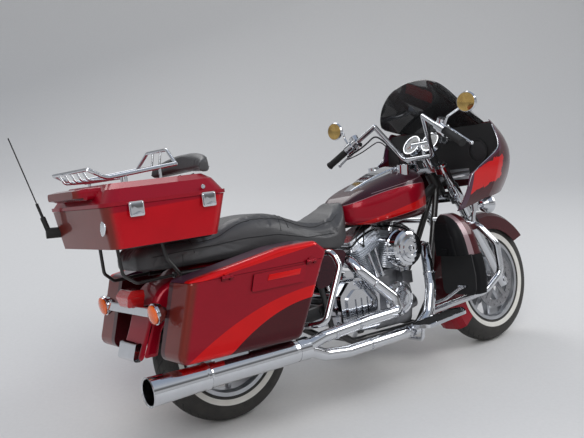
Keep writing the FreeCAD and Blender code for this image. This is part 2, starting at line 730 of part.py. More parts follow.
def hinge_base(x, axis, side):
    """Fixed half of one lid hinge: two knuckles with their pin, on a leaf to the wall inboard of it."""
    y, z = axis
    parts = [rod(V(x - 24, y, z), V(x + 24, y, z), hinge_pin_r)]
    for x0 in (x - 24, x + 11):
        parts.append(rod(V(x0, y, z), V(x0 + 13, y, z), hinge_r))
        parts.append(Part.makeBox(13, 13, 12, V(x0, y - side * 6.5 - 6.5, z - 13)))
    return fused(parts)


def hinge_leaf(x, axis, side):
    """Moving half of one lid hinge: the middle knuckle and its leaf to the lid's wall."""
    y, z = axis
    knuckle = fused([rod(V(x - 10, y, z), V(x + 10, y, z), hinge_r),
                     Part.makeBox(20, 13, 12, V(x - 10, y - side * 6.5 - 6.5, z + 1))])
    return knuckle.cut(rod(V(x - 12, y, z), V(x + 12, y, z), hinge_pin_r + axle_fit))


def top_case():
    """Hollow luggage box body, open at the top under its lid, with its two hinges."""
    latches = []
    for x in (-449, -150):
        latches.append(side_plate([(x - 29, 926), (x + 29, 926), (x + 29, 981), (x - 29, 981)], 6,
                                  -case_half_wide - 12, -case_half_wide - 5.5))
        latches.append(Part.makeBox(40, 14, 16, V(x - 20, -case_half_wide - 6, 938)))
    hinges = [hinge_base(x, case_hinge, 1) for x in (-430, -190)]
    return fused([case_form(0, 0).cut(case_form(case_wall, case_wall))] + latches + hinges)


def lid_level(z, x0, x1, half, r):
    """One level outline of the lid."""
    return rounded([(x0, -half), (x1, -half), (x1, half), (x0, half)], r, lambda u, v: V(u, v, z))


def lid_form():
    """The lid's outside as one solid: its rim, its sloped top and the lip over the back."""
    z0, h = case_line + lid_gap, case_half_wide
    rim = loft([lid_level(z0, -570, -48, h + 3, 58), lid_level(z0 + 14, -570, -48, h + 3, 58)], True)
    top = loft([lid_level(z0 + 14, -562, -56, h - 4, 54), lid_level(z0 + 62, -528, -84, h - 34, 48),
                lid_level(z0 + 84, -505, -110, h - 70, 44)], True)
    lip = loft([box_section(-470, 180, 1000, 1049, 14, 18), box_section(-574, 174, 1004, 1049, 16, 18),
                box_section(-618, 142, 1014, 1043, 12, 13)], True)
    return fused([rim, top, lip])


def case_lid():
    """Hollow lid with its hinge leaves."""
    z0, h, w = case_line + lid_gap, case_half_wide, case_wall
    low = loft([lid_level(z0 - 1, -566 + w, -52 - w, h - w, 52), lid_level(z0 + 14, -560 + w, -58 - w, h - 4 - w, 50)], True)
    high = loft([lid_level(z0 + 13.9, -558 + w, -60 - w, h - 6 - w, 48), lid_level(z0 + 60, -526 + w, -86 - w, h - 37 - w, 42),
                 lid_level(z0 + 84 - w, -505 + w, -110 - w, h - 72 - w, 38)], True)
    hinges = [hinge_leaf(x, case_hinge, 1) for x in (-430, -190)]
    return fused([lid_form().cut(low).cut(high)] + hinges)


rack_y = 190.0
rack_tail = (-566.0, 1116.0)
rack_kink = (-497.0, 1077.0)
rack_front = (-206.0, 1104.0)


def luggage_rack():
    """Bright rack on the lid: side rails, a raised slatted tail and a front hoop."""
    (tail_x, tail_z), (kink_x, kink_z), (front_x, front_z) = rack_tail, rack_kink, rack_front
    parts = []
    for s in (-1, 1):
        y = s * rack_y
        parts.append(tube([(tail_x, y, tail_z), (kink_x, y, kink_z), (front_x, y, front_z)], 8, 60))
        for x in (-422, -278):
            z = kink_z + (x - kink_x) * (front_z - kink_z) / (front_x - kink_x)
            parts.append(rod(V(x, y, 1040), V(x, y, z), 6))
    for x, z, r in ((tail_x, tail_z, 7), (-440, 1072, 5), (front_x, front_z, 7)):
        parts.append(rod(V(x, -rack_y, z), V(x, rack_y, z), r))
    for k in range(5):
        y = -132 + 66 * k
        parts.append(tube([(tail_x, y, tail_z), (-546, y, 1076), (-440, y, 1072)], 4.5, 24))
    hoop = tube([(front_x, -rack_y + 4, front_z), (front_x + 14, -92, 1166), (front_x + 14, 92, 1166),
                 (front_x, rack_y - 4, front_z)], 7, 26)
    posts = [rod(V(front_x, s * 36, front_z), V(front_x + 14, s * 36, 1166), 4.5) for s in (-1, 1)]
    posts += [rod(V(-112, s * 60, 1042), V(-66, s * 60, 1054), 8) for s in (-1, 1)]
    return fused(parts + [hoop] + posts).cut(lid_form())


BACKREST = [  # y, x of its front, low, high
    (-222, -86, 1062, 1108), (-184, -62, 1062, 1126), (-100, -42, 1063, 1144), (0, -34, 1064, 1150)]


def backrest():
    """Pad that curves round the lid's front for the passenger's back, on two brackets."""
    rows = BACKREST + [(-y, x, low, high) for y, x, low, high in reversed(BACKREST[:-1])]
    sections = []
    for y, x, low, high in rows:
        corners = [(x - 50, low), (x, low), (x - 8, high), (x - 42, high)]
        sections.append(rounded(corners, 15, lambda u, v, y=y: V(u, y, v)))
    return loft(sections)


def case_carrier():
    """Black tubular stand that holds the luggage box over the seat's rear."""
    r, y, z = 7, 160, 807
    loop = tube([(-80, -y, z), (-400, -y, z), (-452, -y + 40, z), (-452, y - 40, z), (-400, y, z), (-80, y, z)], r, 40)
    out = rail_y + rail_r + seat_gap
    legs = []
    for s in (-1, 1):
        foot = V(-236, s * out, rail_z(-236))
        legs.append(tube([(-296, s * y, z), (-286, s * 168, 740), (-236, s * 172, foot.z), (-236, s * out, foot.z)], r, 18))
        legs.append(tube([(-452, s * 90, z), (-446, s * 96, 700), (-400, s * 116, 662), (-245.3, s * 118, 667.5)], r, 24))
    cross = rod(V(-80, -y, z), V(-80, y, z), r)
    return fused([loop, cross] + legs)


def antenna():
    """Whip aerial in its rubber base at the luggage box's left rear corner."""
    base = V(-590, 268, 888)
    top = V(-694, 300, 1290)
    d = (top - base).normalize()
    foot = rod(V(-530, 256, 885), V(-602, 272, 888), 22).cut(case_form(-seat_gap, 0))
    foot = max(foot.Solids, key=lambda part: -part.CenterOfMass.x)
    return fused([foot, rod(base, base + d * 70, 11), rod(base + d * 70, base + d * 130, 6), rod(base + d * 130, top, 2.6)])


FAIRING = [  # z, half width, x where the side turns into the nose, x of the nose
    (730, 296, 1330, 1580), (820, 374, 1345, 1660), (908, 408, 1362, 1698), (1014, 420, 1378, 1696),
    (1090, 402, 1386, 1650), (1172, 348, 1392, 1576)]
screen_r = 414.0
screen_lean = 0.78
screen_taper = 0.34
screen_foot = 1070.0
screen_top = 1402.0
screen_thick = 5.5
SCREEN_EDGE = [  # half width and z up one side of the screen, seen from ahead
    (352, 1120), (330, 1196), (288, 1266), (236, 1322), (172, 1366), (90, 1394)]


def fairing_volume(inset):
    """Everything inside the fairing's skin, from level sections: two sides and a round nose."""
    wires = []
    for z, half, turn_x, nose_x in FAIRING:
        h, n = half - inset, nose_x - inset
        back_r, back_l = V(1100, -h, z), V(1100, h, z)
        right, left = V(turn_x, -h, z), V(turn_x, h, z)
        wires.append(Part.Wire([
            Part.LineSegment(back_r, right).toShape(), Part.Arc(right, V(n, 0, z), left).toShape(),
            Part.LineSegment(left, back_l).toShape(), Part.LineSegment(back_l, back_r).toShape()]))
    return loft(wires)


def fairing_outline():
    """The fairing's edge seen from the side, as a plate across the whole bike."""
    outline = [(1168, 736), (1330, 784), (1500, 800), (1760, 850), (1760, 1010), (1640, 1068),
               (1396, 1158), (1384, 1090), (1380, 1014), (1176, 908)]
    return side_plate(outline, [6, 60, 60, 40, 20, 60, 6, 10, 26, 20], -460, 460)


ledge_wide = 56.0


def screen_ledge():
    """Thickened upper edge of the fairing that the screen stands on."""
    rim = fairing_volume(0).cut(fairing_volume(ledge_wide)).common(fairing_outline())
    below = fairing_outline()
    below.translate(V(0, 0, -7))
    return rim.cut(below).common(Part.makeBox(400, 920, 400, V(1424, -460, 900)))


def fairing_shell():
    """Frame-mounted nose fairing, open behind, with an aperture for the twin lamps."""
    hull = fairing_volume(0).cut(fairing_volume(shell))
    keep = fairing_outline()
    fork_room = side_plate([(1100, 600), (1590, 600), (1590, 842), (1100, 842)], 10, -215, 215)
    lamp_hole = side_plate([(1500, 868), (1760, 868), (1760, 944), (1500, 944)], 8, -176, 176)
    return fused([hull.common(keep).cut(fork_room).cut(lamp_hole), screen_ledge()])


def lamp_arm(r):
    """Bracket from the neck forward to the lamps, which carries the inner panel on its way."""
    arm = tube([steering_line(876) + V(20, 0, 0), (1460, 0, 896), (1586, 0, 900)], r, 60)
    return arm.cut(rod(steering_line(780), steering_line(960), neck_r + seat_gap))


def headlamps():
    """Twin lamps behind one opening, on a carrier that ties to the neck."""
    lamps = []
    for s in (-1, 1):
        lamps.append(turned([(0, 0), (36, 0), (37, 50), (24, 64), (0, 70)], V(1592, s * 92, 906), X))
    plate = Part.makeBox(12, 330, 74, V(1582, -165, 869))
    return fused(lamps + [plate, lamp_arm(arm_r)])


def screen_block(inset):
    """Half-round leaning block that tapers upward, whose front is the screen's face."""
    wires = []
    for z in (1060, 1430):
        c = V(1126 + (1215 - z) * screen_lean, 0, z)
        r = screen_r - screen_taper * (z - screen_foot) - inset
        wires.append(Part.Wire([Part.Arc(c - V(0, r, 0), c + V(r, 0, 0), c + V(0, r, 0)).toShape(),
                                Part.LineSegment(c + V(0, r, 0), c - V(0, r, 0)).toShape()]))
    return loft(wires, True)


def windshield():
    """Dark curved screen with a round top, standing on the fairing's upper edge."""
    crown = Part.BSplineCurve()
    right = [V(1000, -y, z) for y, z in SCREEN_EDGE]
    crown.interpolate(right + [V(1000, 0, screen_top)] + [V(1000, -p.y, p.z) for p in reversed(right)])
    ends = [right[0], V(1000, right[0].y, 1000), V(1000, -right[0].y, 1000), V(1000, -right[0].y, right[0].z)]
    sides = [Part.LineSegment(ends[i], ends[i + 1]).toShape() for i in range(3)]
    outline = Part.Face(Part.Wire([crown.toShape()] + sides[::-1])).extrude(V(900, 0, 0))
    above = side_plate([(1340, 1179), (1396, 1158), (1640, 1068), (1760, 1020), (1760, 1400), (1340, 1500), (1200, 1500)],
                       1, -460, 460)
    edge = fairing_outline()
    edge.translate(V(0, 0, seat_gap))
    return screen_block(0).cut(screen_block(screen_thick)).common(outline).common(above).cut(edge)


def instrument_panel():
    """Inner panel of the fairing with its speakers and small dials."""
    sheet = fairing_volume(shell + 0.3)
    slab = side_plate([(1404, 810), (1418, 810), (1418, 1140), (1404, 1140)], 2, -420, 420)
    face = sheet.common(slab)
    face = face.cut(side_plate([(1380, 700), (1460, 700), (1460, 850), (1380, 850)], 4, -215, 215))
    for s in (-1, 1):
        y0, y1 = sorted((s * 42, s * 190))
        face = face.cut(side_plate([(1380, 840), (1460, 840), (1460, 930), (1380, 930)], 4, y0, y1))
    face = face.cut(lamp_arm(arm_r + seat_gap))
    trims = []
    for y, z, r in ((-262, 1010, 62), (262, 1010, 62)):
        trims.append(ring(V(1405, y, z), V(1396, y, z), r, r - 10))
    for y in (-135, -48, 48, 135):
        trims.append(rod(V(1405, y, 1090), V(1396, y, 1090), 24))
    return fused([face] + trims)


def fork():
    """Two legs in their bright sliders, the two clamps and the steering stem."""
    parts = []
    for s in (-1, 1):
        y = s * leg_y
        foot, shoulder, top = leg_line(tyre_r - 26, y), leg_line(slider_top, y), leg_line(clamp_top_z + 14, y)
        parts += [rod(foot, shoulder, slider_r), rod(shoulder, top, fork_tube_r)]
        parts.append(rod(shoulder, shoulder + leg_dir * 26, slider_r + 3))
        parts.append(rod(leg_line(clamp_low_z - 90, y), leg_line(clamp_low_z + 60, y), fork_tube_r + 7))
    for z in (clamp_low_z, clamp_top_z):
        c, l = steering_line(z), leg_line(z, 0)
        out, back = leg_y + 28, l.x - c.x - 30
        flat = rounded([(back, -out), (-2, -out), (36, -44), (36, 44), (-2, out), (back, out),
                        (back, leg_y - 30), (-24, leg_y - 44), (-24, -leg_y + 44), (back, -leg_y + 30)],
                       [24, 20, 20, 20, 20, 24, 12, 8, 8, 12], lambda u, v: V(u, v, 0))
        plate = Part.Face(flat).extrude(V(0, 0, clamp_thick))
        plate.translate(V(0, 0, -clamp_thick / 2))
        plate.rotate(V(0, 0, 0), Y, -rake)
        plate.translate(c)
        parts.append(plate)
    parts.append(rod(steering_line(clamp_low_z), steering_line(clamp_top_z), stem_r))
    for s in (-1, 1):
        parts.append(rod(leg_line(clamp_top_z, s * 48) + V(6, 0, 0), bar_centre + V(0, s * 48, 0), 15))
    hole = rod(V(wheelbase, -200, tyre_r), V(wheelbase, 200, tyre_r), axle_r + axle_fit)
    grip = rod(bar_centre - V(0, 70, 0), bar_centre + V(0, 70, 0), bar_r + 0.05)
    return fused(parts).cut(hole).cut(grip)


def front_axle():
    return fused([rod(V(wheelbase, -152, tyre_r), V(wheelbase, 152, tyre_r), axle_r),
                  rod(V(wheelbase, 149, tyre_r), V(wheelbase, 160, tyre_r), 18)])


def front_calipers():
    """Brake calipers that straddle the discs, on lugs behind the sliders."""
    slider = rod(leg_line(tyre_r - 60, -leg_y), leg_line(640, -leg_y), slider_r + seat_gap)
    lug = side_plate([(1520, 380), (1604, 372), (1596, 440), (1530, 452)], 8, -112, -97)
    body = fused([straddle(front_hub, -50, -1), lug]).cut(slider)
    return both(max(body.Solids, key=lambda part: part.Volume))


def front_fender():
    """Skirted front mudguard around the tyre, with a raised front edge."""
    def section(r0, r1, w0, skirt):
        return [(skirt, -w0), (r0 - 26, -w0), (r0 - 6, -w0 + 26), (r0, -w0 + 52), (r0, w0 - 52), (r0 - 6, w0 - 26),
                (r0 - 26, w0), (skirt, w0), (skirt, w0 - shell), (r1 - 26, w0 - shell), (r1 - 6, w0 - 28), (r1, w0 - 53),
                (r1, -w0 + 53), (r1 - 6, -w0 + 28), (r1 - 26, -w0 + shell), (skirt, -w0 + shell)]
    pts = [V(wheelbase, y, tyre_r + r) for r, y in section(362, 358, 86, 268)]
    face = Part.Face(Part.makePolygon(pts + [pts[0]]))
    face.rotate(front_hub, Y, 55)
    body = face.revolve(front_hub, Y, -180)
    body = body.cut(side_plate([(1700, 300), (2100, 300), (2100, 560), (1885, 520), (1720, 470)], 20, -100, 100))
    lugs = []
    for s in (-1, 1):
        c, y = leg_line(548, 0), s * leg_y
        lug = Part.makeBox(34, 34, 44, V(c.x - 17, min(s * 84, s * 118), c.z - 22))
        lugs.append(lug.cut(rod(leg_line(420, y), leg_line(650, y), slider_r + seat_gap)))
    return fused([body] + [max(lug.Solids, key=lambda part: part.Volume) for lug in lugs])


def handlebar():
    """One-inch bar with tall angular risers, swept back to the grips."""
    half = [bar_corner, bar_rise, V(bar_rise.x, -bar_rise.y, bar_rise.z), V(bar_corner.x, -bar_corner.y, bar_corner.z)]
    middle = tube(half, bar_r, 30)
    arms = []
    for s in (-1, 1):
        a = V(bar_corner.x, s * bar_corner.y, bar_corner.z)
        b = V(bar_end.x, s * bar_end.y, bar_end.z)
        arms.append(rod(a, b, bar_r))
        arms.append(Part.makeSphere(bar_r, a))
    return fused([middle] + arms)


def grip_axis(s):
    a = V(bar_corner.x, s * bar_corner.y, bar_corner.z)
    b = V(bar_end.x, s * bar_end.y, bar_end.z)
    return a, b, (b - a).normalize()


def grips():
    out = []
    for s in (-1, 1):
        a, b, d = grip_axis(s)
        start = b - d * grip_long
        out.append(fused([ring(start, b + d * 0.5, grip_r, bar_r + axle_fit), rod(b + d * 0.5, b + d * 9, grip_r + 2)]))
    return Part.makeCompound(out)


class ControlFrame:
    """Directions at one end of the handlebar: along it, forward of it and above it."""

    def __init__(self, s):
        a, b, self.along = grip_axis(s)
        self.start = b - self.along * (grip_long + 1)
        self.fore = (X - self.along * self.along.x).normalize()
        self.up = self.along.cross(self.fore)
        if self.up.z < 0:
            self.up = self.up * -1

    def point(self, along, fore, up):
        return self.start + self.along * along + self.fore * fore + self.up * up


def control_frame(s):
    return ControlFrame(s)


def hand_controls():
    """Switch housings, brake and clutch perches with their levers, and the fluid reservoirs."""
    out = []
    for s in (-1, 1):
        at_bar = control_frame(s)
        put = at_bar.point
        housing = rod(put(-44, 0, 0), put(0, 0, 0), 27)
        perch = rod(put(-78, 0, 0), put(-43, 0, 0), 21)
        block = rod(put(-61, 12, 0), put(-61, 48, 0), 13)
        lever = tube([put(-61, 42, 0), put(-20, 62, -4), put(60, 62, -6), put(118, 66, -8)], 6.5, 60)
        tip = Part.makeSphere(9.5, put(118, 66, -8))
        tank = rod(put(-64, 10, 12), put(-64, 10, 40), 24)
        parts = [housing, perch, block, lever, tip, tank]
        out.append(fused(parts).cut(rod(put(-90, 0, 0), put(10, 0, 0), bar_r + axle_fit)))
    return Part.makeCompound(out)


def mirrors():
    """Oval mirrors on bent stems that stand on the lever perches."""
    out = []
    for s in (-1, 1):
        frame_at = control_frame(s)
        c = V(mirror_at.x, s * mirror_at.y, mirror_at.z)
        head = turned([(0, 0), (46, 0), (50, 6), (46, 16), (30, 26), (0, 30)], V(0, 0, 0), X)
        grown = FreeCAD.Matrix()
        grown.scale(V(1, mirror_wide / 100, mirror_tall / 100))
        head = head.transformGeometry(grown)
        head.translate(c - V(10, 0, 0))
        foot = frame_at.point(-22, 0, 27 + seat_gap)
        stem = tube([foot, foot + frame_at.up * 34, c + V(14, -s * 44, -14), c + V(10, -s * 10, 0)], 5.5, 30)
        out.append(fused([head, stem]))
    return Part.makeCompound(out)


def gauge_pod():
    """Two round dials in one housing on the top clamp."""
    parts = []
    tilt = V(-0.82, 0, 0.57).normalize()
    for s in (-1, 1):
        c = V(1284, s * 62, 1078)
        parts.append(turned([(0, -46), (30, -44), (50, -20), (54, 0), (54, 10), (48, 10), (46, 4), (0, 4)], c, tilt))
    parts.append(rod(V(1292, -62, 1072), V(1292, 62, 1072), 24))
    foot = steering_line(clamp_top_z) + steering_dir * (clamp_thick / 2 + seat_gap)
    parts += [rod(foot, foot + steering_dir * 26, 15), rod(foot + steering_dir * 18, V(1294, 0, 1066), 12)]
    return fused(parts)


LOWER = [  # z, rear x, front x, inner y, outer y, corner radius
    (732, 1112, 1172, 236, 286, 20), (690, 1078, 1198, 224, 350, 34), (620, 1066, 1214, 222, 384, 40),
    (540, 1068, 1222, 222, 398, 40)]
LOWER_BOTTOM = [(539, 1128, 1222, 222, 398, 30), (430, 1136, 1224, 200, 414, 30), (352, 1120, 1206, 190, 420, 26)]


def lower_fairing():
    """Leg shield with its locker above and a swept panel below, right side."""
    def level(z, x0, x1, y0, y1, r):
        return rounded([(x0, -y1), (x1, -y1), (x1, -y0), (x0, -y0)], r, lambda u, v: V(u, v, z))
    upper = loft([level(*row) for row in LOWER])
    lower = loft([level(*row) for row in LOWER_BOTTOM])
    rows = [LOWER_BOTTOM[0], LOWER_BOTTOM[1], (338,) + LOWER_BOTTOM[2][1:]]
    scoop = loft([level(z, x0 - 60, x1 - 12, y0 - 60, y1 - 10, r) for z, x0, x1, y0, y1, r in rows])
    door = loft([level(z, x0 - 5, x0 + 30, y0 + 14, y1 - 26, 12) for z, x0, x1, y0, y1, r in LOWER[1:]], True)
    latch = Part.makeBox(12, 34, 26, V(LOWER[3][1] - 12, -322, 548))
    clip = Part.makeBox(64, 24, 30, V(1196, -330, 640))
    return fused([upper, door, latch, clip, lower.cut(scoop)]).cut(guard_hoop(guard_r + seat_gap))


def guard_hoop(r):
    """Right half of the engine guard's hoop, from the down tube round to the cradle."""
    return tube([(1271, -46, 690), (1262, -170, 692), (1272, -336, 655), (1308, -402, 566), (1318, -402, 428),
                 (1222, -384, 352), (1068, -134.6, 258)], r, 60)


def engine_guard():
    """Bright hoop that carries the lower fairings, with the turn lamps on its top bar."""
    out = [guard_hoop(guard_r), mirror(guard_hoop(guard_r))]
    for s in (-1, 1):
        lamp = turned([(0, 0), (18, 2), (36, 18), (45, 42), (45, 52), (40, 56), (0, 62)], V(1322, s * 318, 750), X)
        out += [lamp, tube([(1270, s * 300, 668), (1284, s * 312, 744), (1330, s * 318, 750)], 9, 20)]
        out.append(rod(V(1284, s * 312, 726), V(1284, s * 312, 764), 17))
    return fused(out).cut(Part.makeCompound([cradle(-1, cradle_r + seat_gap), cradle(1, cradle_r + seat_gap)]))


board_rim = 7.0


def floorboards():
    """Rider boards on their arms, with the brake and shift levers on the cradle."""
    out = []
    for s in (-1, 1):
        outline = [(786, 302), (1050, 302), (1096, 350), (1050, 414), (812, 414)]
        edge_wire = rounded(outline, 24, lambda u, v: V(u, v, 0))
        board = Part.Face(edge_wire).extrude(V(0, 0, 15))
        tray = Part.Face(edge_wire.makeOffset2D(-board_rim)).extrude(V(0, 0, 12))
        board = board.cut(tray.translated(V(0, 0, 8)))
        board.rotate(V(900, 0, 0), Y, -5)
        board.translate(V(0, 0, 266))
        under_pipe = [(850, cradle_y, cradle_z), (850, 158, cradle_z), (850, 236, 191), (850, 318, 191), (850, 338, 266)]
        straight = [(850, cradle_y, cradle_z), (850, 176, 240), (850, 318, 264)]
        arms = [rod(V(980, cradle_y, cradle_z), V(980, 314, 274), 10), tube(straight if s > 0 else under_pipe, 9, 16)]
        lever = tube([(1075, 122, 285), (1090, 250, 330), (1122, 306, 372), (1140, 336, 386)], 8, 24)
        pad = Part.makeBox(52, 50, 10, V(1114, 312, 384))
        for piece in (fused([board] + arms), fused([lever, pad])):
            piece = piece.cut(cradle(1, cradle_r + seat_gap))
            out.append(piece if s > 0 else mirror(piece))
    return Part.makeCompound(out)


def horn():
    """Horn in its bright cover between the cylinders on the left."""
    cover = turned([(0, 0), (46, 0), (52, 20), (44, 44), (0, 52)], V(890, 132, 560), Y)
    arm = [rod(V(895, 150, 562), V(1000, 118, 636), 8), rod(V(1000, head_left + seat_gap, 636), V(1000, 124, 636), 10)]
    return fused([cover] + arm)


def side_stand(lift):
    """Leg, foot and pivot boss, drawn in the leaned frame where the foot is flat on the floor."""
    p = leaned_point(stand_pivot, lift)
    down = stand_axis.cross(X)
    foot = V(p.x + stand_reach.x, p.y + stand_reach.y, 0)
    leg = tube([p, p + down * 56, foot + V(0, 0, foot_thick / 2)], stand_r, 40)
    pad = Part.makeCylinder(foot_r, foot_thick, foot, Z)
    boss = rod(p - stand_axis * 16, p + stand_axis * 16, 17)
    leg = leg.cut(Part.makeBox(200, 200, 100, foot - V(100, 100, 100)))
    return fused([leg, pad, boss]).cut(rod(p - stand_axis * 40, p + stand_axis * 40, stand_pin_r + axle_fit))


def stand_bracket(lift):
    """Clevis and pin on the left cradle tube that carry the side stand."""
    p = leaned_point(stand_pivot, lift)
    side = stand_axis.cross(X) * -1
    pin = rod(p - stand_axis * 27, p + stand_axis * 27, stand_pin_r)
    clevis = Part.makeBox(32, 54, 66, V(-16, -27, -16))
    slot = Part.makeBox(60, 2 * stand_slot, 40, V(-30, -stand_slot, -18))
    clevis = clevis.cut(slot)
    turn = FreeCAD.Rotation(X, stand_axis, side, "YZX")
    clevis.Placement = FreeCAD.Placement(p, turn)
    return fused([pin, clevis])


def settle():
    """Lean, lift and pitch that put both tyres on the floor."""
    a = math.radians(lean)
    lean_turn = FreeCAD.Rotation(X, -lean)
    hub_f = front_hub
    normal = FreeCAD.Rotation(steering_dir, steer_rest).multVec(Y)
    lift, pitch = 0.0, 0.0
    for _ in range(6):
        turn = FreeCAD.Rotation(Y, pitch).multiply(lean_turn)
        low = []
        for hub, axis in ((rear_hub, Y), (hub_f, normal)):
            c, n = turn.multVec(hub), turn.multVec(axis)
            low.append((c.x, c.z - (tyre_r - crown_r) * math.sqrt(1 - n.z ** 2) - crown_r))
        slope = (low[1][1] - low[0][1]) / (low[1][0] - low[0][0])
        pitch += math.degrees(math.atan(slope))
        lift = -low[0][1]
    return lift, pitch


lift, pitch = settle()
lean_turn = FreeCAD.Rotation(Y, pitch).multiply(FreeCAD.Rotation(X, -lean))


def leaned_point(p, up=0.0):
    return lean_turn.multVec(p) + V(0, 0, up)


def steered(shape):
    out = shape.copy()
    out.rotate(front_hub, steering_dir, steer_rest)
    return out


def leaned(shape):
    out = shape.copy()
    out.Placement = FreeCAD.Placement(V(0, 0, lift), lean_turn).multiply(out.Placement)
    return out


CHASSIS = {
    "frame_tubes": frame_tubes, "swingarm": swingarm, "rear_axle": rear_axle, "rear_shocks": rear_shocks,
    "crankcase": crankcase, "cylinders": cylinders, "pushrod_tubes": pushrod_tubes, "air_cleaner": air_cleaner,
    "transmission_case": transmission_case, "primary_cover": primary_cover, "drive_belt": drive_belt,
    "exhaust_pipes": exhaust_pipes, "muffler": muffler, "fuel_tank": fuel_tank, "tank_console": tank_console,
    "seat": seat, "side_covers": side_covers, "saddlebags": lambda: both(saddlebag()), "bag_guards": bag_guards,
    "top_case": top_case, "case_carrier": case_carrier, "backrest": backrest, "antenna": antenna,
    "rear_fender": rear_fender, "rear_brightwork": rear_brightwork, "tail_lamp": tail_lamp,
    "fairing_shell": fairing_shell, "headlamps": headlamps, "windshield": windshield,
    "instrument_panel": instrument_panel, "lower_fairings": lambda: both(lower_fairing()),
    "engine_guard": engine_guard, "floorboards": floorboards, "horn": horn,
    "bag_lid_right": bag_lid, "bag_lid_left": lambda: mirror(bag_lid()),
    "case_lid": case_lid, "luggage_rack": luggage_rack,
    "rear_tyre": lambda: tyre(rear_hub), "rear_wheel": lambda: wheel(rear_hub),
    "rear_disc": lambda: brake_disc(rear_hub, -disc_y), "rear_pulley": rear_pulley,
}
STEERED = {
    "fork": fork, "front_axle": front_axle, "front_calipers": front_calipers, "front_fender": front_fender,
    "handlebar": handlebar, "grips": grips, "hand_controls": hand_controls, "mirrors": mirrors,
    "gauge_pod": gauge_pod, "front_tyre": lambda: tyre(front_hub), "front_wheel": lambda: wheel(front_hub),
    "front_discs": lambda: Part.makeCompound([brake_disc(front_hub, -disc_y), brake_disc(front_hub, disc_y)]),
}


def build():
    import time
    shapes = {}
    for name, make in {**CHASSIS, **STEERED}.items():
        began = time.time()
        try:
            shape = make()
        except Exception as e:
            print("FAILED", name, e)
            continue
        took = time.time() - began
        solids = shape.Solids
        bad = [s for s in solids if not s.isValid() or s.Volume <= 0]
        print(f"{name:20s} solids {len(solids)} volume {sum(s.Volume for s in solids) / 1e6:8.3f} L  {took:5.1f}s", "BAD" if bad or not solids else "")
        shapes[name] = leaned(steered(shape) if name in STEERED else shape)
    shapes["side_stand"] = side_stand(lift)
    shapes["frame_tubes"] = shapes["frame_tubes"].fuse(stand_bracket(lift)).removeSplitter()
    return shapes


def main():
    shapes = build()
    low, high = V(1e9, 1e9, 1e9), V(-1e9, -1e9, -1e9)
    for name, shape in shapes.items():
        for p in shape.tessellate(0.5)[0]:
            low = V(min(low.x, p.x), min(low.y, p.y), min(low.z, p.z))
            high = V(max(high.x, p.x), max(high.y, p.y), max(high.z, p.z))
    print("box", low, high, "size", high - low, "lift", lift, "pitch", pitch)
    shift = V(-(low.x + high.x) / 2, -(low.y + high.y) / 2, 0)
    os.makedirs("parts", exist_ok=True)
    for name, shape in shapes.items():
        out = shape.copy()
        out.translate(shift)
        solids = out.Solids
        (solids[0] if len(solids) == 1 else Part.makeCompound(solids)).exportStep(f"parts/{name}.step")

    def row(p):
        q = leaned_point(p, lift) + shift
        return [round(c / 1000, 6) for c in q]

    def way(d):
        return [round(c, 6) for c in lean_turn.multVec(d)]

    steer_turn = FreeCAD.Rotation(steering_dir, steer_rest)
    print("joint steering", row(front_hub), way(steering_dir))
    print("joint rear_wheel_spin", row(rear_hub), way(Y))
    print("joint front_wheel_spin", row(front_hub), way(steer_turn.multVec(Y)))
    print("joint bag_lid_right", row(V(0, *bag_hinge)), way(X))
    print("joint bag_lid_left", row(V(0, -bag_hinge[0], bag_hinge[1])), way(X * -1))
    print("joint case_lid", row(V(-300, *case_hinge)), way(X * -1))
    p = leaned_point(stand_pivot, lift) + shift
    print("joint stand", [round(c / 1000, 6) for c in p], list(stand_axis))


if __name__ == "__main__":
    main()
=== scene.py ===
"""Looks of a touring cruiser motorcycle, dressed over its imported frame."""

import json
import logging
import math
from dataclasses import dataclass, field
from enum import Enum
from typing import Optional, Sequence

import bpy
from mathutils import Matrix, Vector
from mathutils.bvhtree import BVHTree


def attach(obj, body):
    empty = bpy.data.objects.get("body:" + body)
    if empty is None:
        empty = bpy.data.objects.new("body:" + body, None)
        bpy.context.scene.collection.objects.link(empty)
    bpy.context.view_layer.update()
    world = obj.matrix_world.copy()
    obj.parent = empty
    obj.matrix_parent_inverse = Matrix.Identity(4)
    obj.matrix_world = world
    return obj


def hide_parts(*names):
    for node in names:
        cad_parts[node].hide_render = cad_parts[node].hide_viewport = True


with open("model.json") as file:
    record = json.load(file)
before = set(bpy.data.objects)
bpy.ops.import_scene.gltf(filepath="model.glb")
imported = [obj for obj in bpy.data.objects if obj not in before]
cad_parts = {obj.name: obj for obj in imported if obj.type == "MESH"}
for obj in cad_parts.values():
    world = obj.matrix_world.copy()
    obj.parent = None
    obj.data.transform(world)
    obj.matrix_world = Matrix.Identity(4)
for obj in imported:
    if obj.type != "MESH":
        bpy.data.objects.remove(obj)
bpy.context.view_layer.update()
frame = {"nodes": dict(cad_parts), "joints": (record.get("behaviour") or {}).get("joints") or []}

log = logging.getLogger("motorcycle")
Colour = tuple[float, float, float]
Point = tuple[float, float, float]
Pairs = tuple[tuple[float, float], ...]
Places = Sequence[tuple[Point, Point]]
SIDES = ((-1, "right"), (1, "left"))


def screen_colour(red: int, green: int, blue: int) -> Colour:
    """Turns a colour as a screen shows it, 0 to 255, into the shader's linear values.

    Args:
        red: Red, 0 to 255.
        green: Green, 0 to 255.
        blue: Blue, 0 to 255.

    Returns:
        Linear red, green and blue.
    """
    def one(value: int) -> float:
        """Turns one part of the colour."""
        share = value / 255
        return share / 12.92 if share <= 0.04045 else ((share + 0.055) / 1.055) ** 2.4
    return one(red), one(green), one(blue)


class Stance(Enum):
    """Which of the bike's two frames a piece is drawn in."""

    LEANED = "leaned"
    STEERED = "steered"


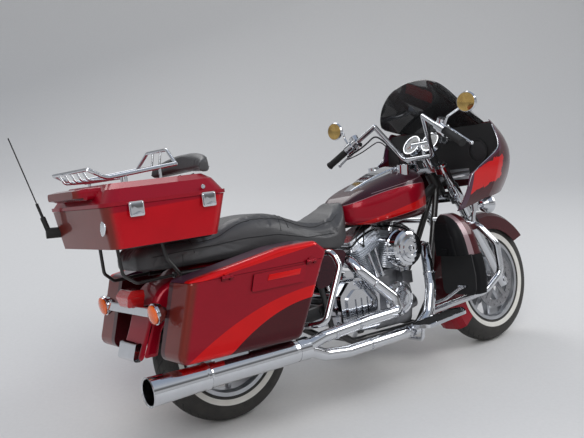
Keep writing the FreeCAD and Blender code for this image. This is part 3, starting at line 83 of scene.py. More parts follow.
@dataclass
class BikeFrame:
    """The upright bike's own axes: X forward, Y left, Z up, with its origin under the rear hub."""

    wheel_radius: float = 0.322
    steer_rest: float = 5.0
    turns: dict[Stance, Matrix] = field(default_factory=dict)

    def __post_init__(self) -> None:
        """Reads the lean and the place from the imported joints."""
        joints = {j["name"]: j for j in frame["joints"]}
        rear, steering = joints["rear_wheel_spin"], joints["steering"]
        ahead = Vector(joints["bag_lid_right_hinge"]["axis"]).normalized()
        left = Vector(rear["axis"]).normalized()
        up = ahead.cross(left).normalized()
        self.hub = Vector(rear["pos_m"])
        turn = Matrix((ahead, left, up)).transposed().to_4x4()
        self.turns[Stance.LEANED] = Matrix.Translation(self.hub - up * self.wheel_radius) @ turn
        pivot = Matrix.Translation(Vector(steering["pos_m"]))
        swing = Matrix.Rotation(math.radians(self.steer_rest), 4, Vector(steering["axis"]))
        self.turns[Stance.STEERED] = pivot @ swing @ pivot.inverted() @ self.turns[Stance.LEANED]

    def point(self, where: Sequence[float], stance: Stance = Stance.LEANED) -> Vector:
        """Gives a point of the upright bike, in metres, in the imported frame."""
        return self.turns[stance] @ Vector(where)

    def way(self, direction: Sequence[float], stance: Stance = Stance.LEANED) -> Vector:
        """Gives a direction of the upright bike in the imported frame."""
        return (self.turns[stance].to_3x3() @ Vector(direction)).normalized()


bike = BikeFrame()


class Signal:
    """A shader value that is written as plain arithmetic."""

    def __init__(self, graph: "Graph", socket: bpy.types.NodeSocket) -> None:
        """Wraps one output socket."""
        self.graph = graph
        self.socket = socket

    def __add__(self, other: "Signal | float") -> "Signal":
        """Adds."""
        return self.graph.math("ADD", self, other)

    __radd__ = __add__

    def __sub__(self, other: "Signal | float") -> "Signal":
        """Takes away."""
        return self.graph.math("SUBTRACT", self, other)

    def __rsub__(self, other: "Signal | float") -> "Signal":
        """Takes this away from another."""
        return self.graph.math("SUBTRACT", other, self)

    def __mul__(self, other: "Signal | float") -> "Signal":
        """Multiplies."""
        return self.graph.math("MULTIPLY", self, other)

    __rmul__ = __mul__

    def __truediv__(self, other: "Signal | float") -> "Signal":
        """Divides."""
        return self.graph.math("DIVIDE", self, other)

    def __pow__(self, other: "Signal | float") -> "Signal":
        """Raises to a power."""
        return self.graph.math("POWER", self, other)

    def __abs__(self) -> "Signal":
        """Drops the sign."""
        return self.graph.math("ABSOLUTE", self)

    def above(self, edge: "Signal | float", blur: float = 0.0008) -> "Signal":
        """Is 1 over the edge and 0 under it, with a narrow blur between.

        Args:
            edge: Where the step lies.
            blur: Half the step's width.

        Returns:
            The mask.
        """
        return self.graph.node(
            "ShaderNodeMapRange", {"interpolation_type": "SMOOTHSTEP", "clamp": True},
            {"Value": self - edge, "From Min": -blur, "From Max": blur, "To Min": 0.0, "To Max": 1.0})

    def below(self, edge: "Signal | float", blur: float = 0.0008) -> "Signal":
        """Is 1 under the edge and 0 over it."""
        return 1.0 - self.above(edge, blur)

    def within(self, low: float, high: float, blur: float = 0.0008) -> "Signal":
        """Is 1 between two edges."""
        return self.above(low, blur) * self.below(high, blur)

    def wave(self, pitch: float) -> "Signal":
        """A sine of this value with the given pitch, from -1 to 1."""
        return self.graph.math("SINE", self * (math.tau / pitch))


class Graph:
    """One material's nodes, with the bike's own axes at hand."""

    def __init__(self, name: str, stance: Stance = Stance.LEANED) -> None:
        """Starts a material with its shader and its output.

        Args:
            name: The material's name.
            stance: Which of the bike's frames it is drawn in.
        """
        self.material = bpy.data.materials.new(name)
        self.material.use_nodes = True
        self.tree = self.material.node_tree
        self.shader = self.tree.nodes["Principled BSDF"]
        self.stance = stance
        self._axes: Optional[tuple[Signal, Signal, Signal]] = None
        self._place: Optional[Signal] = None

    def node(self, kind: str, settings: dict, inputs: dict, output: str | int = 0) -> Signal:
        """Adds one node.

        Args:
            kind: The node's type.
            settings: Attributes, set before the sockets are filled.
            inputs: Values or signals by socket name or number.
            output: Which output is wanted.

        Returns:
            The output as a signal.
        """
        made = self.tree.nodes.new(kind)
        for key, value in settings.items():
            setattr(made, key, value)
        for key, value in inputs.items():
            self.fill(made.inputs[key], value)
        return Signal(self, made.outputs[output])

    def fill(self, socket: bpy.types.NodeSocket, value: "Signal | float | Sequence[float]") -> None:
        """Links or sets one socket.

        Args:
            socket: The socket to fill.
            value: A signal to link, or a number or colour to set.
        """
        if isinstance(value, Signal):
            self.tree.links.new(value.socket, socket)
        elif isinstance(value, (tuple, list, Vector)) and len(value) == 3 and len(socket.default_value) == 4:
            socket.default_value = (*value, 1.0)
        else:
            socket.default_value = value

    def math(self, operation: str, *values: "Signal | float") -> Signal:
        """Adds one Math node over the given values."""
        return self.node("ShaderNodeMath", {"operation": operation}, dict(enumerate(values)))

    def blend(self, share: "Signal | float", first: "Signal | Colour", second: "Signal | Colour") -> Signal:
        """Mixes two colours.

        Args:
            share: How much of the second colour shows, 0 to 1.
            first: The first colour.
            second: The second colour.

        Returns:
            The mixed colour.
        """
        made = self.tree.nodes.new("ShaderNodeMix")
        made.data_type = "RGBA"
        self.fill(made.inputs["Factor"], share)
        self.fill(made.inputs[6], first)
        self.fill(made.inputs[7], second)
        return Signal(self, made.outputs[2])

    def place(self) -> Signal:
        """The surface's place in the upright bike's axes, in metres.

        Returns:
            The place, as one signal.
        """
        if self._place is None:
            turn = bike.turns[self.stance]
            raw = self.node("ShaderNodeTexCoord", {}, {}, "Object")
            self._place = self.node(
                "ShaderNodeMapping", {"vector_type": "TEXTURE"},
                {"Vector": raw, "Location": turn.to_translation(), "Rotation": Vector(turn.to_euler("XYZ"))})
        return self._place

    def axes(self) -> tuple[Signal, Signal, Signal]:
        """The place's three parts.

        Returns:
            Distance ahead, distance to the left and height.
        """
        if self._axes is None:
            parts = self.tree.nodes.new("ShaderNodeSeparateXYZ")
            self.tree.links.new(self.place().socket, parts.inputs[0])
            self._axes = tuple(Signal(self, parts.outputs[i]) for i in range(3))
        return self._axes

    def noise(self, scale: float, detail: float = 2.0, roughness: float = 0.5) -> Signal:
        """Cloudy noise from 0 to 1 in the bike's axes."""
        inputs = {"Vector": self.place(), "Scale": scale, "Detail": detail, "Roughness": roughness}
        return self.node("ShaderNodeTexNoise", {}, inputs, "Fac")

    def cells(self, scale: float, output: str = "Distance") -> Signal:
        """Cell pattern in the bike's axes."""
        return self.node("ShaderNodeTexVoronoi", {}, {"Vector": self.place(), "Scale": scale}, output)

    def relief(self, height: Signal, distance: float, strength: float = 1.0) -> None:
        """Sets a bump on the shader."""
        inputs = {"Height": height, "Distance": distance, "Strength": strength}
        self.fill(self.shader.inputs["Normal"], self.node("ShaderNodeBump", {}, inputs, "Normal"))

    def finish(self, **sockets: "Signal | float | Sequence[float]") -> bpy.types.Material:
        """Fills the shader's sockets by name, with spaces written as underscores.

        Args:
            sockets: Values by the socket's name.

        Returns:
            The finished material.
        """
        for key, value in sockets.items():
            self.fill(self.shader.inputs[key.replace("_", " ")], value)
        return self.material


class Tone(Enum):
    """The bike's paint colours, as a screen shows them, and one painted reflection."""

    CRIMSON = screen_colour(150, 2, 30)
    CARMINE = screen_colour(190, 4, 22)
    SCARLET = screen_colour(214, 6, 8)
    # painted reflection: garnet stands for the pavement reflected in the rear faces of the bags and the box,
    # not a paint colour
    GARNET = screen_colour(112, 40, 30)
    FLAKE = screen_colour(255, 52, 64)
    BURGUNDY = screen_colour(52, 16, 22)
    MIDNIGHT = screen_colour(24, 20, 30)
    VIOLET = screen_colour(66, 42, 66)
    MAUVE = screen_colour(150, 132, 136)
    BLACK = screen_colour(16, 16, 18)
    CHROME = screen_colour(232, 234, 238)
    WHITE = screen_colour(228, 226, 220)


class Scheme(Enum):
    """Which painted panel a finish is laid out for."""

    PLAIN = "plain"
    TANK = "tank"
    BAG = "bag"
    BAG_LID = "bag lid"
    CASE = "case"
    CASE_LID = "case lid"
    NOSE = "nose"
    LOWER = "lower"
    FRONT_GUARD = "front guard"
    SIDE = "side"


@dataclass(frozen=True)
class Layers:
    """What a paint scheme gives: its colour, and where it is bright metal or dull moulding."""

    colour: Signal | Colour
    bright: Signal | None = None
    dull: Signal | None = None


class Finish:
    """A finish, which builds its own material."""

    def material(self, stance: Stance) -> bpy.types.Material:
        """Builds the material for one of the bike's frames."""
        raise NotImplementedError


@dataclass(frozen=True)
class Paint(Finish):
    """Clear-coated metal flake paint in the panel's own scheme."""

    scheme: Scheme
    base: Tone = Tone.CRIMSON
    flake: float = 0.06
    metal: float = 0.3
    rough: float = 0.33
    coat: float = 0.7
    specular: float = 0.12
    coat_ior: float = 1.38

    def material(self, stance: Stance) -> bpy.types.Material:
        """Builds the paint, with bright fittings where the panel carries them.

        Args:
            stance: Which of the bike's frames it is drawn in.

        Returns:
            The finished material.
        """
        graph = Graph(f"paint_{self.scheme.value.replace(' ', '_')}", stance)
        layers = getattr(self, "_" + self.scheme.name.lower())(graph, *graph.axes())
        sparkle = graph.cells(900.0, "Color")
        lift = graph.node("ShaderNodeSeparateColor", {}, {"Color": sparkle}, "Red")
        cloud = graph.noise(9.0)
        colour = graph.blend(cloud * 0.22, layers.colour, (0.0, 0.0, 0.0))
        if layers.dull is not None:
            lift = lift * (1.0 - layers.dull)
        colour = graph.blend(lift * self.flake, colour, Tone.FLAKE.value)
        rough = cloud * 0.05 + self.rough
        metal, coat = self.metal, self.coat
        if layers.bright is not None:
            colour = graph.blend(layers.bright, colour, Tone.CHROME.value)
            metal = layers.bright * (1.0 - self.metal) + self.metal
            coat = self.coat - layers.bright * self.coat
            rough = rough - layers.bright * 0.27
        if layers.dull is not None:
            metal = self.metal - layers.dull * self.metal
            coat = self.coat - layers.dull * 0.66
            rough = rough + layers.dull * 0.25
        graph.relief(graph.noise(260.0, 1.0), 0.00012, 0.12)
        return graph.finish(
            Base_Color=colour, Metallic=metal, Roughness=rough, Specular_IOR_Level=self.specular,
            Coat_Weight=coat, Coat_Roughness=0.03, Coat_IOR=self.coat_ior)

    def _plain(self, graph: Graph, x: Signal, y: Signal, z: Signal) -> Layers:
        """One colour all over."""
        return Layers(self.base.value)

    def _tank(self, graph: Graph, x: Signal, y: Signal, z: Signal) -> Layers:
        """Crimson sides over a scarlet sweep, a dark belly and a dark top, with fine pale edges.

        Args:
            graph: The paint's nodes.
            x: Distance ahead of the rear hub.
            y: Distance to the left; not used.
            z: Height above the ground.

        Returns:
            The panel's colour, and where it is bright or dull.
        """
        ahead = x - 0.947
        top_edge = z - ahead * 0.1 + ahead * ahead * 0.34
        sweep_top = z - (x - 0.931) * 0.2
        sweep_low = z - (x - 0.960) * 0.14
        colour = graph.blend(sweep_top.below(0.786), Tone.CRIMSON.value, Tone.SCARLET.value)
        colour = graph.blend(sweep_low.below(0.757), colour, Tone.BURGUNDY.value)
        colour = graph.blend(top_edge.above(0.886), colour, Tone.MIDNIGHT.value)
        upper_line = z - x * 0.15
        line = upper_line.within(0.7526, 0.7546) * x.above(0.80) + top_edge.within(0.884, 0.886)
        return Layers(graph.blend(line + sweep_low.within(0.7562, 0.7578), colour, Tone.MAUVE.value))

    def _bag(self, graph: Graph, x: Signal, y: Signal, z: Signal) -> Layers:
        """Crimson with a scarlet flash that sweeps up forward over a dark lower front.

        Args:
            graph: The paint's nodes.
            x: Distance ahead of the rear hub.
            y: Distance to the left.
            z: Height above the ground.

        Returns:
            The panel's colour, and where it is bright or dull.
        """
        side = abs(y).above(0.300)
        flash = (z - x * 0.260 + x * x * 0.466).below(0.5206) * side
        dark = (z - x * 0.407 + x * x * 0.838).below(0.4615) * side
        colour = graph.blend(flash, self.base.value, Tone.SCARLET.value)
        colour = graph.blend(dark, colour, Tone.BURGUNDY.value)
        # painted reflection: the bag's rear face gets the garnet of the pavement reflected in it
        behind = (x - (z - 0.362) * 0.30).below(-0.372, 0.012)
        colour = graph.blend(behind, colour, Tone.GARNET.value)
        # painted shade: the inner faces next to the wheel are darkened to burgundy
        colour = graph.blend(abs(y).below(0.262), colour, Tone.BURGUNDY.value)
        plate_edge = abs(y).within(0.3925, 0.3990)
        colour = graph.blend(plate_edge, colour, Tone.BLACK.value)
        brackets = abs(y).below(0.2275)
        return Layers(graph.blend(brackets, colour, Tone.BLACK.value))

    def _bag_lid(self, graph: Graph, x: Signal, y: Signal, z: Signal) -> Layers:
        """Scarlet band along the shoulder, crimson below it and a violet strip over the inner top.

        Args:
            graph: The paint's nodes.
            x: Distance ahead of the rear hub.
            y: Distance to the left.
            z: Height above the ground.

        Returns:
            The panel's colour, and where it is bright or dull.
        """
        rise = z - x * 0.115
        colour = graph.blend(rise.above(0.684), self.base.value, Tone.SCARLET.value)
        top = abs(y).below(0.345, 0.002) * (z - x * 0.15 + x * x * 0.1).above(0.682)
        return Layers(graph.blend(top, colour, Tone.VIOLET.value))

    def _case(self, graph: Graph, x: Signal, y: Signal, z: Signal) -> Layers:
        """Carmine sides with a crimson band under the lid, a painted reflection of the pavement in garnet on
        the back and bright catches.

        Args:
            graph: The paint's nodes.
            x: Distance ahead of the rear hub.
            y: Distance to the left.
            z: Height above the ground.

        Returns:
            The panel's colour, and where it is bright or dull.
        """
        colour = graph.blend((z - x * 0.04).above(0.968, 0.004), Tone.CARMINE.value, Tone.CRIMSON.value)
        # painted reflection: the back face gets the garnet of the pavement reflected in it
        back = (x + (z - 0.9) * 0.12).below(-0.532, 0.012)
        colour = graph.blend(back, colour, Tone.GARNET.value)
        latch = y.below(-0.3058) * z.above(0.925)
        return Layers(colour, bright=latch + y.above(0.3058))

    def _case_lid(self, graph: Graph, x: Signal, y: Signal, z: Signal) -> Layers:
        """Crimson with a painted reflection of the pavement in garnet on the back and a painted shadow in
        black under the lip.

        Args:
            graph: The paint's nodes.
            x: Distance ahead of the rear hub.
            y: Distance to the left.
            z: Height above the ground.

        Returns:
            The panel's colour, and where it is bright or dull.
        """
        # painted reflection: garnet of the pavement on the back of the lid
        colour = graph.blend(x.below(-0.600, 0.010), self.base.value, Tone.GARNET.value)
        # painted shadow: black strip under the lid's rear lip
        painted_lip_shadow = x.below(-0.585) * z.below(1.0145)
        return Layers(graph.blend(painted_lip_shadow, colour, Tone.BLACK.value), bright=y.above(0.3085))

    def _nose(self, graph: Graph, x: Signal, y: Signal, z: Signal) -> Layers:
        """Dark burgundy with a ragged scarlet flash low on each side and violet inside.

        Args:
            graph: The paint's nodes.
            x: Distance ahead of the rear hub.
            y: Distance to the left; not used.
            z: Height above the ground.

        Returns:
            The panel's colour, and where it is bright or dull.
        """
        torn = graph.noise(26.0, 3.0, 0.7) - 0.5
        rise = z - (x - 1.30) * 0.30 + torn * 0.05
        band = rise.within(0.842, 0.955, 0.0015)
        front = (x + torn * 0.16).below(1.41, 0.002)
        colour = graph.blend(band * front, self.base.value, Tone.SCARLET.value)
        rear_lip = x.below(1.205, 0.001) + (z - (x - 1.20) * 0.50).above(0.913, 0.001) * x.below(1.40)
        clear = graph.math("MINIMUM", rear_lip, 1.0)
        return Layers(graph.blend(clear, colour, Tone.VIOLET.value))

    def _lower(self, graph: Graph, x: Signal, y: Signal, z: Signal) -> Layers:
        """Black grained locker and lower extension, a narrow mauve lip and a burgundy outside.

        Args:
            graph: The paint's nodes.
            x: Distance ahead of the rear hub.
            y: Distance to the left; not used.
            z: Height above the ground.

        Returns:
            The panel's colour, and where it is bright or dull.
        """
        lip = x.below(1.148 - (z - 0.62) * 0.10)
        colour = graph.blend(lip, self.base.value, Tone.MAUVE.value)
        locker = x.below(1.116 - (z - 0.62) * 0.07)
        moulded = graph.math("MAXIMUM", locker, z.below(0.536))
        return Layers(graph.blend(moulded, colour, Tone.BLACK.value), dull=moulded)

    def _front_guard(self, graph: Graph, x: Signal, y: Signal, z: Signal) -> Layers:
        """Dark burgundy with a crimson lower skirt."""
        return Layers(graph.blend(z.below(0.25, 0.05), self.base.value, Tone.CRIMSON.value))

    def _side(self, graph: Graph, x: Signal, y: Signal, z: Signal) -> Layers:
        """Dark below a scarlet top edge."""
        return Layers(graph.blend(z.above(0.655), self.base.value, Tone.SCARLET.value))


@dataclass(frozen=True)
class Chrome(Finish):
    """Bright plate with faint polishing swirls and a little haze."""

    tint: Colour = screen_colour(214, 216, 220)
    haze: float = 0.05

    def material(self, stance: Stance) -> bpy.types.Material:
        """Builds the plate.

        Args:
            stance: Which of the bike's frames it is drawn in.

        Returns:
            The finished material.
        """
        graph = Graph("bright_chrome", stance)
        cloud = graph.noise(22.0, 3.0)
        graph.relief(graph.noise(70.0, 2.0), 0.0004, 0.06)
        colour = graph.blend(cloud, self.tint, tuple(c * 0.86 for c in self.tint))
        return graph.finish(Base_Color=colour, Metallic=1.0, Roughness=self.haze + cloud * 0.06)


@dataclass(frozen=True)
class Cast(Finish):
    """Cast alloy, grainy, with cloudy darker patches."""

    name: str = "cast_alloy"
    tint: Colour = screen_colour(190, 192, 196)
    rough: float = 0.24

    def material(self, stance: Stance) -> bpy.types.Material:
        """Builds the alloy.

        Args:
            stance: Which of the bike's frames it is drawn in.

        Returns:
            The finished material.
        """
        graph = Graph(self.name, stance)
        grain = graph.noise(420.0, 3.0, 0.6)
        cloud = graph.noise(14.0)
        graph.relief(grain, 0.0006, 0.18)
        colour = graph.blend(cloud, self.tint, tuple(c * 0.7 for c in self.tint))
        return graph.finish(Base_Color=colour, Metallic=0.95, Roughness=self.rough + grain * 0.14)


@dataclass(frozen=True)
class FinnedBarrel(Finish):
    """Silver barrels with bright rocker boxes and a narrow black band."""

    middle_x: float = 0.890
    crank_z: float = 0.372

    def material(self, stance: Stance) -> bpy.types.Material:
        """Builds the barrel's finish.

        Args:
            stance: Which of the bike's frames it is drawn in.

        Returns:
            The finished material.
        """
        graph = Graph("finned_barrel", stance)
        x, y, z = graph.axes()
        dx, dz = x - self.middle_x, z - self.crank_z
        away = (dx * dx + dz * dz) ** 0.5
        rocker = away.above(0.312, 0.004)
        grain = graph.noise(380.0, 3.0)
        black_band = away.within(0.330, 0.340, 0.002)
        colour = graph.blend(rocker, screen_colour(222, 226, 232), Tone.CHROME.value)
        colour = graph.blend(black_band, colour, Tone.BLACK.value)
        graph.relief(grain, 0.00012, 0.15)
        return graph.finish(Base_Color=colour, Metallic=0.9 - black_band * 0.5,
                            Roughness=0.36 - rocker * 0.26 + grain * 0.1)


@dataclass(frozen=True)
class EngineCase(Finish):
    """Silver crankcase with cloudy dark grey patches and a bright round cam cover."""

    cover_x: float = 0.902
    cover_z: float = 0.360
    cover_radius: float = 0.085
    split: float = 0.093

    def material(self, stance: Stance) -> bpy.types.Material:
        """Builds the case's finish.

        Args:
            stance: Which of the bike's frames it is drawn in.

        Returns:
            The finished material.
        """
        graph = Graph("engine_case", stance)
        x, y, z = graph.axes()
        dx, dz = x - self.cover_x, z - self.cover_z
        radius = (dx * dx + dz * dz) ** 0.5
        cover = radius.below(self.cover_radius, 0.0004) * y.below(-self.split)
        grooves = (radius.within(0.0585, 0.0605, 0.0003) + radius.within(0.0365, 0.0385, 0.0003)) * cover
        grain = graph.noise(380.0, 3.0, 0.6)
        cloud = graph.noise(11.0, 3.0)
        cast = graph.blend(cloud, screen_colour(176, 177, 180), screen_colour(70, 70, 74))
        colour = graph.blend(cover, cast, Tone.CHROME.value)
        # painted shade: the rings cut in the cam cover are darkened to grey
        colour = graph.blend(grooves, colour, screen_colour(44, 44, 48))
        graph.relief(grain * (1.0 - cover), 0.0006, 0.2)
        return graph.finish(Base_Color=colour, Metallic=0.95, Roughness=0.34 - cover * 0.27 + grain * 0.1)


@dataclass(frozen=True)
class Enamel(Finish):
    """Gloss black coat with faint orange peel and dust."""

    tint: Colour = screen_colour(20, 20, 22)

    def material(self, stance: Stance) -> bpy.types.Material:
        """Builds the enamel.

        Args:
            stance: Which of the bike's frames it is drawn in.

        Returns:
            The finished material.
        """
        graph = Graph("black_enamel", stance)
        peel = graph.noise(240.0)
        dust = graph.noise(30.0, 4.0)
        graph.relief(peel, 0.0003, 0.1)
        colour = graph.blend(dust * 0.25, self.tint, screen_colour(70, 66, 60))
        return graph.finish(Base_Color=colour, Metallic=0.1, Roughness=0.22 + dust * 0.2, Coat_Weight=0.4)


@dataclass(frozen=True)
class Moulding(Finish):
    """Matt black moulding or rubber with a fine grain."""

    name: str = "black_moulding"
    tint: Colour = screen_colour(24, 24, 25)
    rough: float = 0.55
    grain_scale: float = 700.0

    def material(self, stance: Stance) -> bpy.types.Material:
        """Builds the moulding.

        Args:
            stance: Which of the bike's frames it is drawn in.

        Returns:
            The finished material.
        """
        graph = Graph(self.name, stance)
        grain = graph.cells(self.grain_scale)
        cloud = graph.noise(18.0, 3.0)
        graph.relief(grain, 0.0004, 0.35)
        colour = graph.blend(cloud * 0.4, self.tint, tuple(c * 2.1 + 0.004 for c in self.tint))
        return graph.finish(Base_Color=colour, Roughness=self.rough + cloud * 0.12)


@dataclass(frozen=True)
class Hide(Finish):
    """Black leather with pores, creases and grey patches that are partly wear and partly painted sheen."""

    tint: Colour = screen_colour(40, 40, 42)

    def material(self, stance: Stance) -> bpy.types.Material:
        """Builds the leather.

        Args:
            stance: Which of the bike's frames it is drawn in.

        Returns:
            The finished material.
        """
        graph = Graph("black_leather", stance)
        pores = graph.cells(520.0)
        creases = graph.noise(60.0, 5.0, 0.65)
        wear_and_painted_sheen = graph.noise(7.0, 3.0)
        graph.relief(pores * 0.6 + creases * 0.8, 0.0011, 0.4)
        # wear and painted sheen: grey patches stand both for wear and for light glancing off the leather
        colour = graph.blend(wear_and_painted_sheen * 0.55, self.tint, screen_colour(92, 91, 92))
        return graph.finish(Base_Color=colour, Roughness=0.34 + creases * 0.22, Coat_Weight=0.12)


@dataclass(frozen=True)
class Lens(Finish):
    """Moulded lamp lens with fine optic ribs."""

    name: str
    tint: Colour
    pitch: float = 0.006
    metal: float = 0.0

    def material(self, stance: Stance) -> bpy.types.Material:
        """Builds the lens.

        Args:
            stance: Which of the bike's frames it is drawn in.

        Returns:
            The finished material.
        """
        graph = Graph(self.name, stance)
        x, y, z = graph.axes()
        ribs = y.wave(self.pitch) * z.wave(self.pitch)
        graph.relief(ribs, 0.0008, 0.3)
        bright = tuple(min(1.0, part * 1.6 + 0.02) for part in self.tint)
        colour = graph.blend(ribs * 0.25 + 0.25, self.tint, bright)
        return graph.finish(Base_Color=colour, Roughness=0.08 + ribs * 0.02, Metallic=self.metal,
                            Coat_Weight=1.0, Coat_Roughness=0.02)


@dataclass(frozen=True)
class Smoke(Finish):
    """Dark smoked screen sheet, faintly dusty."""

    tint: Colour = screen_colour(12, 12, 15)

    def material(self, stance: Stance) -> bpy.types.Material:
        """Builds the screen.

        Args:
            stance: Which of the bike's frames it is drawn in.

        Returns:
            The finished material.
        """
        graph = Graph("smoked_screen", stance)
        dust = graph.noise(40.0, 4.0)
        z = graph.axes()[2]
        alpha = 0.9 - z.above(1.30, 0.12) * 0.12
        graph.relief(dust, 0.0002, 0.05)
        return graph.finish(Base_Color=graph.blend(dust * 0.3, self.tint, screen_colour(40, 40, 44)),
                            Roughness=0.03 + dust * 0.03, Alpha=alpha, Coat_Weight=1.0, Coat_Roughness=0.02)


@dataclass(frozen=True)
class Tread(Finish):
    """Tyre rubber with tread grooves and a white side band."""

    hub_x: float
    name: str
    band_in: float = 0.226
    band_out: float = 0.250

    def material(self, stance: Stance) -> bpy.types.Material:
        """Builds the tyre's finish around its own hub.

        Args:
            stance: Which of the bike's frames it is drawn in.

        Returns:
            The finished material.
        """
        graph = Graph(self.name, stance)
        x, y, z = graph.axes()
        dx, dz = x - self.hub_x, z - bike.wheel_radius
        radius = (dx * dx + dz * dz) ** 0.5
        turn = graph.math("ARCTAN2", dz, dx)
        white = radius.within(self.band_in, self.band_out, 0.0006)
        slant = graph.math("SINE", turn * 46.0 + abs(y) * 190.0)
        cut = slant.above(0.72, 0.06) * abs(y).within(0.010, 0.046, 0.001)
        rings = (abs(y).within(0.0245, 0.0285, 0.0005) + abs(y).below(0.0022, 0.0005)) * radius.above(0.29)
        groove = graph.math("MAXIMUM", cut * radius.above(0.285), rings)
        dust = graph.noise(26.0, 4.0)
        grit = graph.noise(600.0)
        base = graph.blend(dust * 0.6, screen_colour(26, 26, 27), screen_colour(72, 68, 62))
        # painted shade: the tread grooves are darkened towards black
        base = graph.blend(groove * 0.8, base, screen_colour(10, 10, 10))
        band = graph.blend(dust * 0.5, Tone.WHITE.value, screen_colour(176, 170, 158))
        colour = graph.blend(white, base, band)
        side_rings = radius.wave(0.0062) * radius.within(0.254, 0.284) * 0.25
        graph.relief(grit * 0.12 - groove + side_rings, 0.0028, 0.6)
        return graph.finish(Base_Color=colour, Roughness=0.62 - white * 0.15 + grit * 0.1)


@dataclass(frozen=True)
class Disc(Finish):
    """Ground steel with a round brush."""

    hub_x: float
    name: str

    def material(self, stance: Stance) -> bpy.types.Material:
        """Builds the disc's finish around its own hub.

        Args:
            stance: Which of the bike's frames it is drawn in.

        Returns:
            The finished material.
        """
        graph = Graph(self.name, stance)
        x, y, z = graph.axes()
        dx, dz = x - self.hub_x, z - bike.wheel_radius
        radius = (dx * dx + dz * dz) ** 0.5
        scratch = graph.noise(90.0, 3.0) * 0.4 + radius.wave(0.0011) * 0.3 + 0.3
        graph.relief(scratch, 0.0002, 0.25)
        colour = graph.blend(scratch, screen_colour(168, 168, 170), screen_colour(120, 120, 124))
        return graph.finish(Base_Color=colour, Metallic=1.0, Roughness=0.24 + scratch * 0.14)


@dataclass(frozen=True)
class DialFace(Finish):
    """Dark gauge face with a pale rim, pale ticks around it and a darker middle."""

    name: str
    centre: Point
    axis: Point
    radius: float

    def material(self, stance: Stance) -> bpy.types.Material:
        """Builds the face about its own centre.

        Args:
            stance: Which of the bike's frames it is drawn in.

        Returns:
            The finished material.
        """
        graph = Graph(self.name, stance)
        axis = Vector(self.axis).normalized()
        side = Vector((0.0, 1.0, 0.0))
        over = axis.cross(side)
        x, y, z = graph.axes()
        parts = (x - self.centre[0] / 1000, y - self.centre[1] / 1000, z - self.centre[2] / 1000)
        u = parts[0] * side.x + parts[1] * side.y + parts[2] * side.z
        v = parts[0] * over.x + parts[1] * over.y + parts[2] * over.z
        radius = (u * u + v * v) ** 0.5
        turn = graph.math("ARCTAN2", v, u)
        ticks = graph.math("COSINE", turn * 30.0).above(0.86, 0.06)
        ring = radius.within(self.radius * 0.74, self.radius * 0.88, 0.0004)
        middle = radius.below(self.radius * 0.42, 0.0004)
        rim = radius.above(self.radius * 0.93, 0.0004)
        colour = graph.blend(ticks * ring, screen_colour(58, 62, 64), screen_colour(204, 206, 204))
        colour = graph.blend(middle, colour, screen_colour(28, 30, 34))
        colour = graph.blend(rim, colour, screen_colour(150, 152, 154))
        graph.relief(ticks * ring, 0.0003, 0.3)
        return graph.finish(Base_Color=colour, Roughness=0.3 + middle * 0.1, Coat_Weight=1.0,
                            Coat_Roughness=0.03)


@dataclass(frozen=True)
class MirrorGlass(Finish):
    """Mirror glass that carries a warm, broken sky and wall, as it hangs in the photograph."""

    def material(self, stance: Stance) -> bpy.types.Material:
        """Builds the glass.

        Args:
            stance: Which of the bike's frames it is drawn in.

        Returns:
            The finished material.
        """
        graph = Graph("mirror_glass", stance)
        painted_reflection = graph.noise(30.0, 5.0, 0.7)
        streak = graph.noise(140.0, 2.0)
        # painted reflection: warm, broken patches of reflected sky and wall make up the glass's colour
        colour = graph.blend(painted_reflection, screen_colour(120, 84, 30), screen_colour(240, 206, 130))
        graph.relief(streak, 0.0001, 0.05)
        return graph.finish(Base_Color=colour, Metallic=0.85, Roughness=0.08 + painted_reflection * 0.06)


@dataclass
class Wardrobe:
    """Builds each finish once for each stance and puts it on nodes and pieces."""

    made: dict[tuple[Finish, Stance], bpy.types.Material] = field(default_factory=dict)

    def get(self, finish: Finish, stance: Stance = Stance.LEANED) -> bpy.types.Material:
        """Gives the material of a finish, built on first use.

        Args:
            finish: The finish it wears.
            stance: Which of the bike's frames it is drawn in.

        Returns:
            The finished material.
        """
        key = (finish, stance)
        if key not in self.made:
            self.made[key] = finish.material(stance)
        return self.made[key]

    def dress(self, obj: bpy.types.Object, finish: Finish, stance: Stance = Stance.LEANED) -> None:
        """Puts one finish all over a piece."""
        obj.data.materials.clear()
        obj.data.materials.append(self.get(finish, stance))


wardrobe = Wardrobe()
CHROME, ALLOY, ENAMEL, MOULDING, HIDE = Chrome(), Cast(), Enamel(), Moulding(), Hide()
DARK_ALLOY = Cast("dark_alloy", screen_colour(104, 106, 110), 0.34)
RUBBER = Moulding("black_rubber", screen_colour(20, 20, 20), 0.68, 420.0)
RED_LENS = Lens("red_lens", screen_colour(176, 8, 10))
AMBER_LENS = Lens("amber_lens", screen_colour(226, 92, 8), 0.008)
CLEAR_LENS = Lens("clear_lens", screen_colour(206, 210, 216), 0.007, 0.6)
WELT = Moulding("welt_leather", screen_colour(22, 22, 24), 0.42, 900.0)
GRILLE = Moulding("grille_mesh", screen_colour(30, 30, 32), 0.5, 420.0)
MIRROR_GLASS = MirrorGlass()


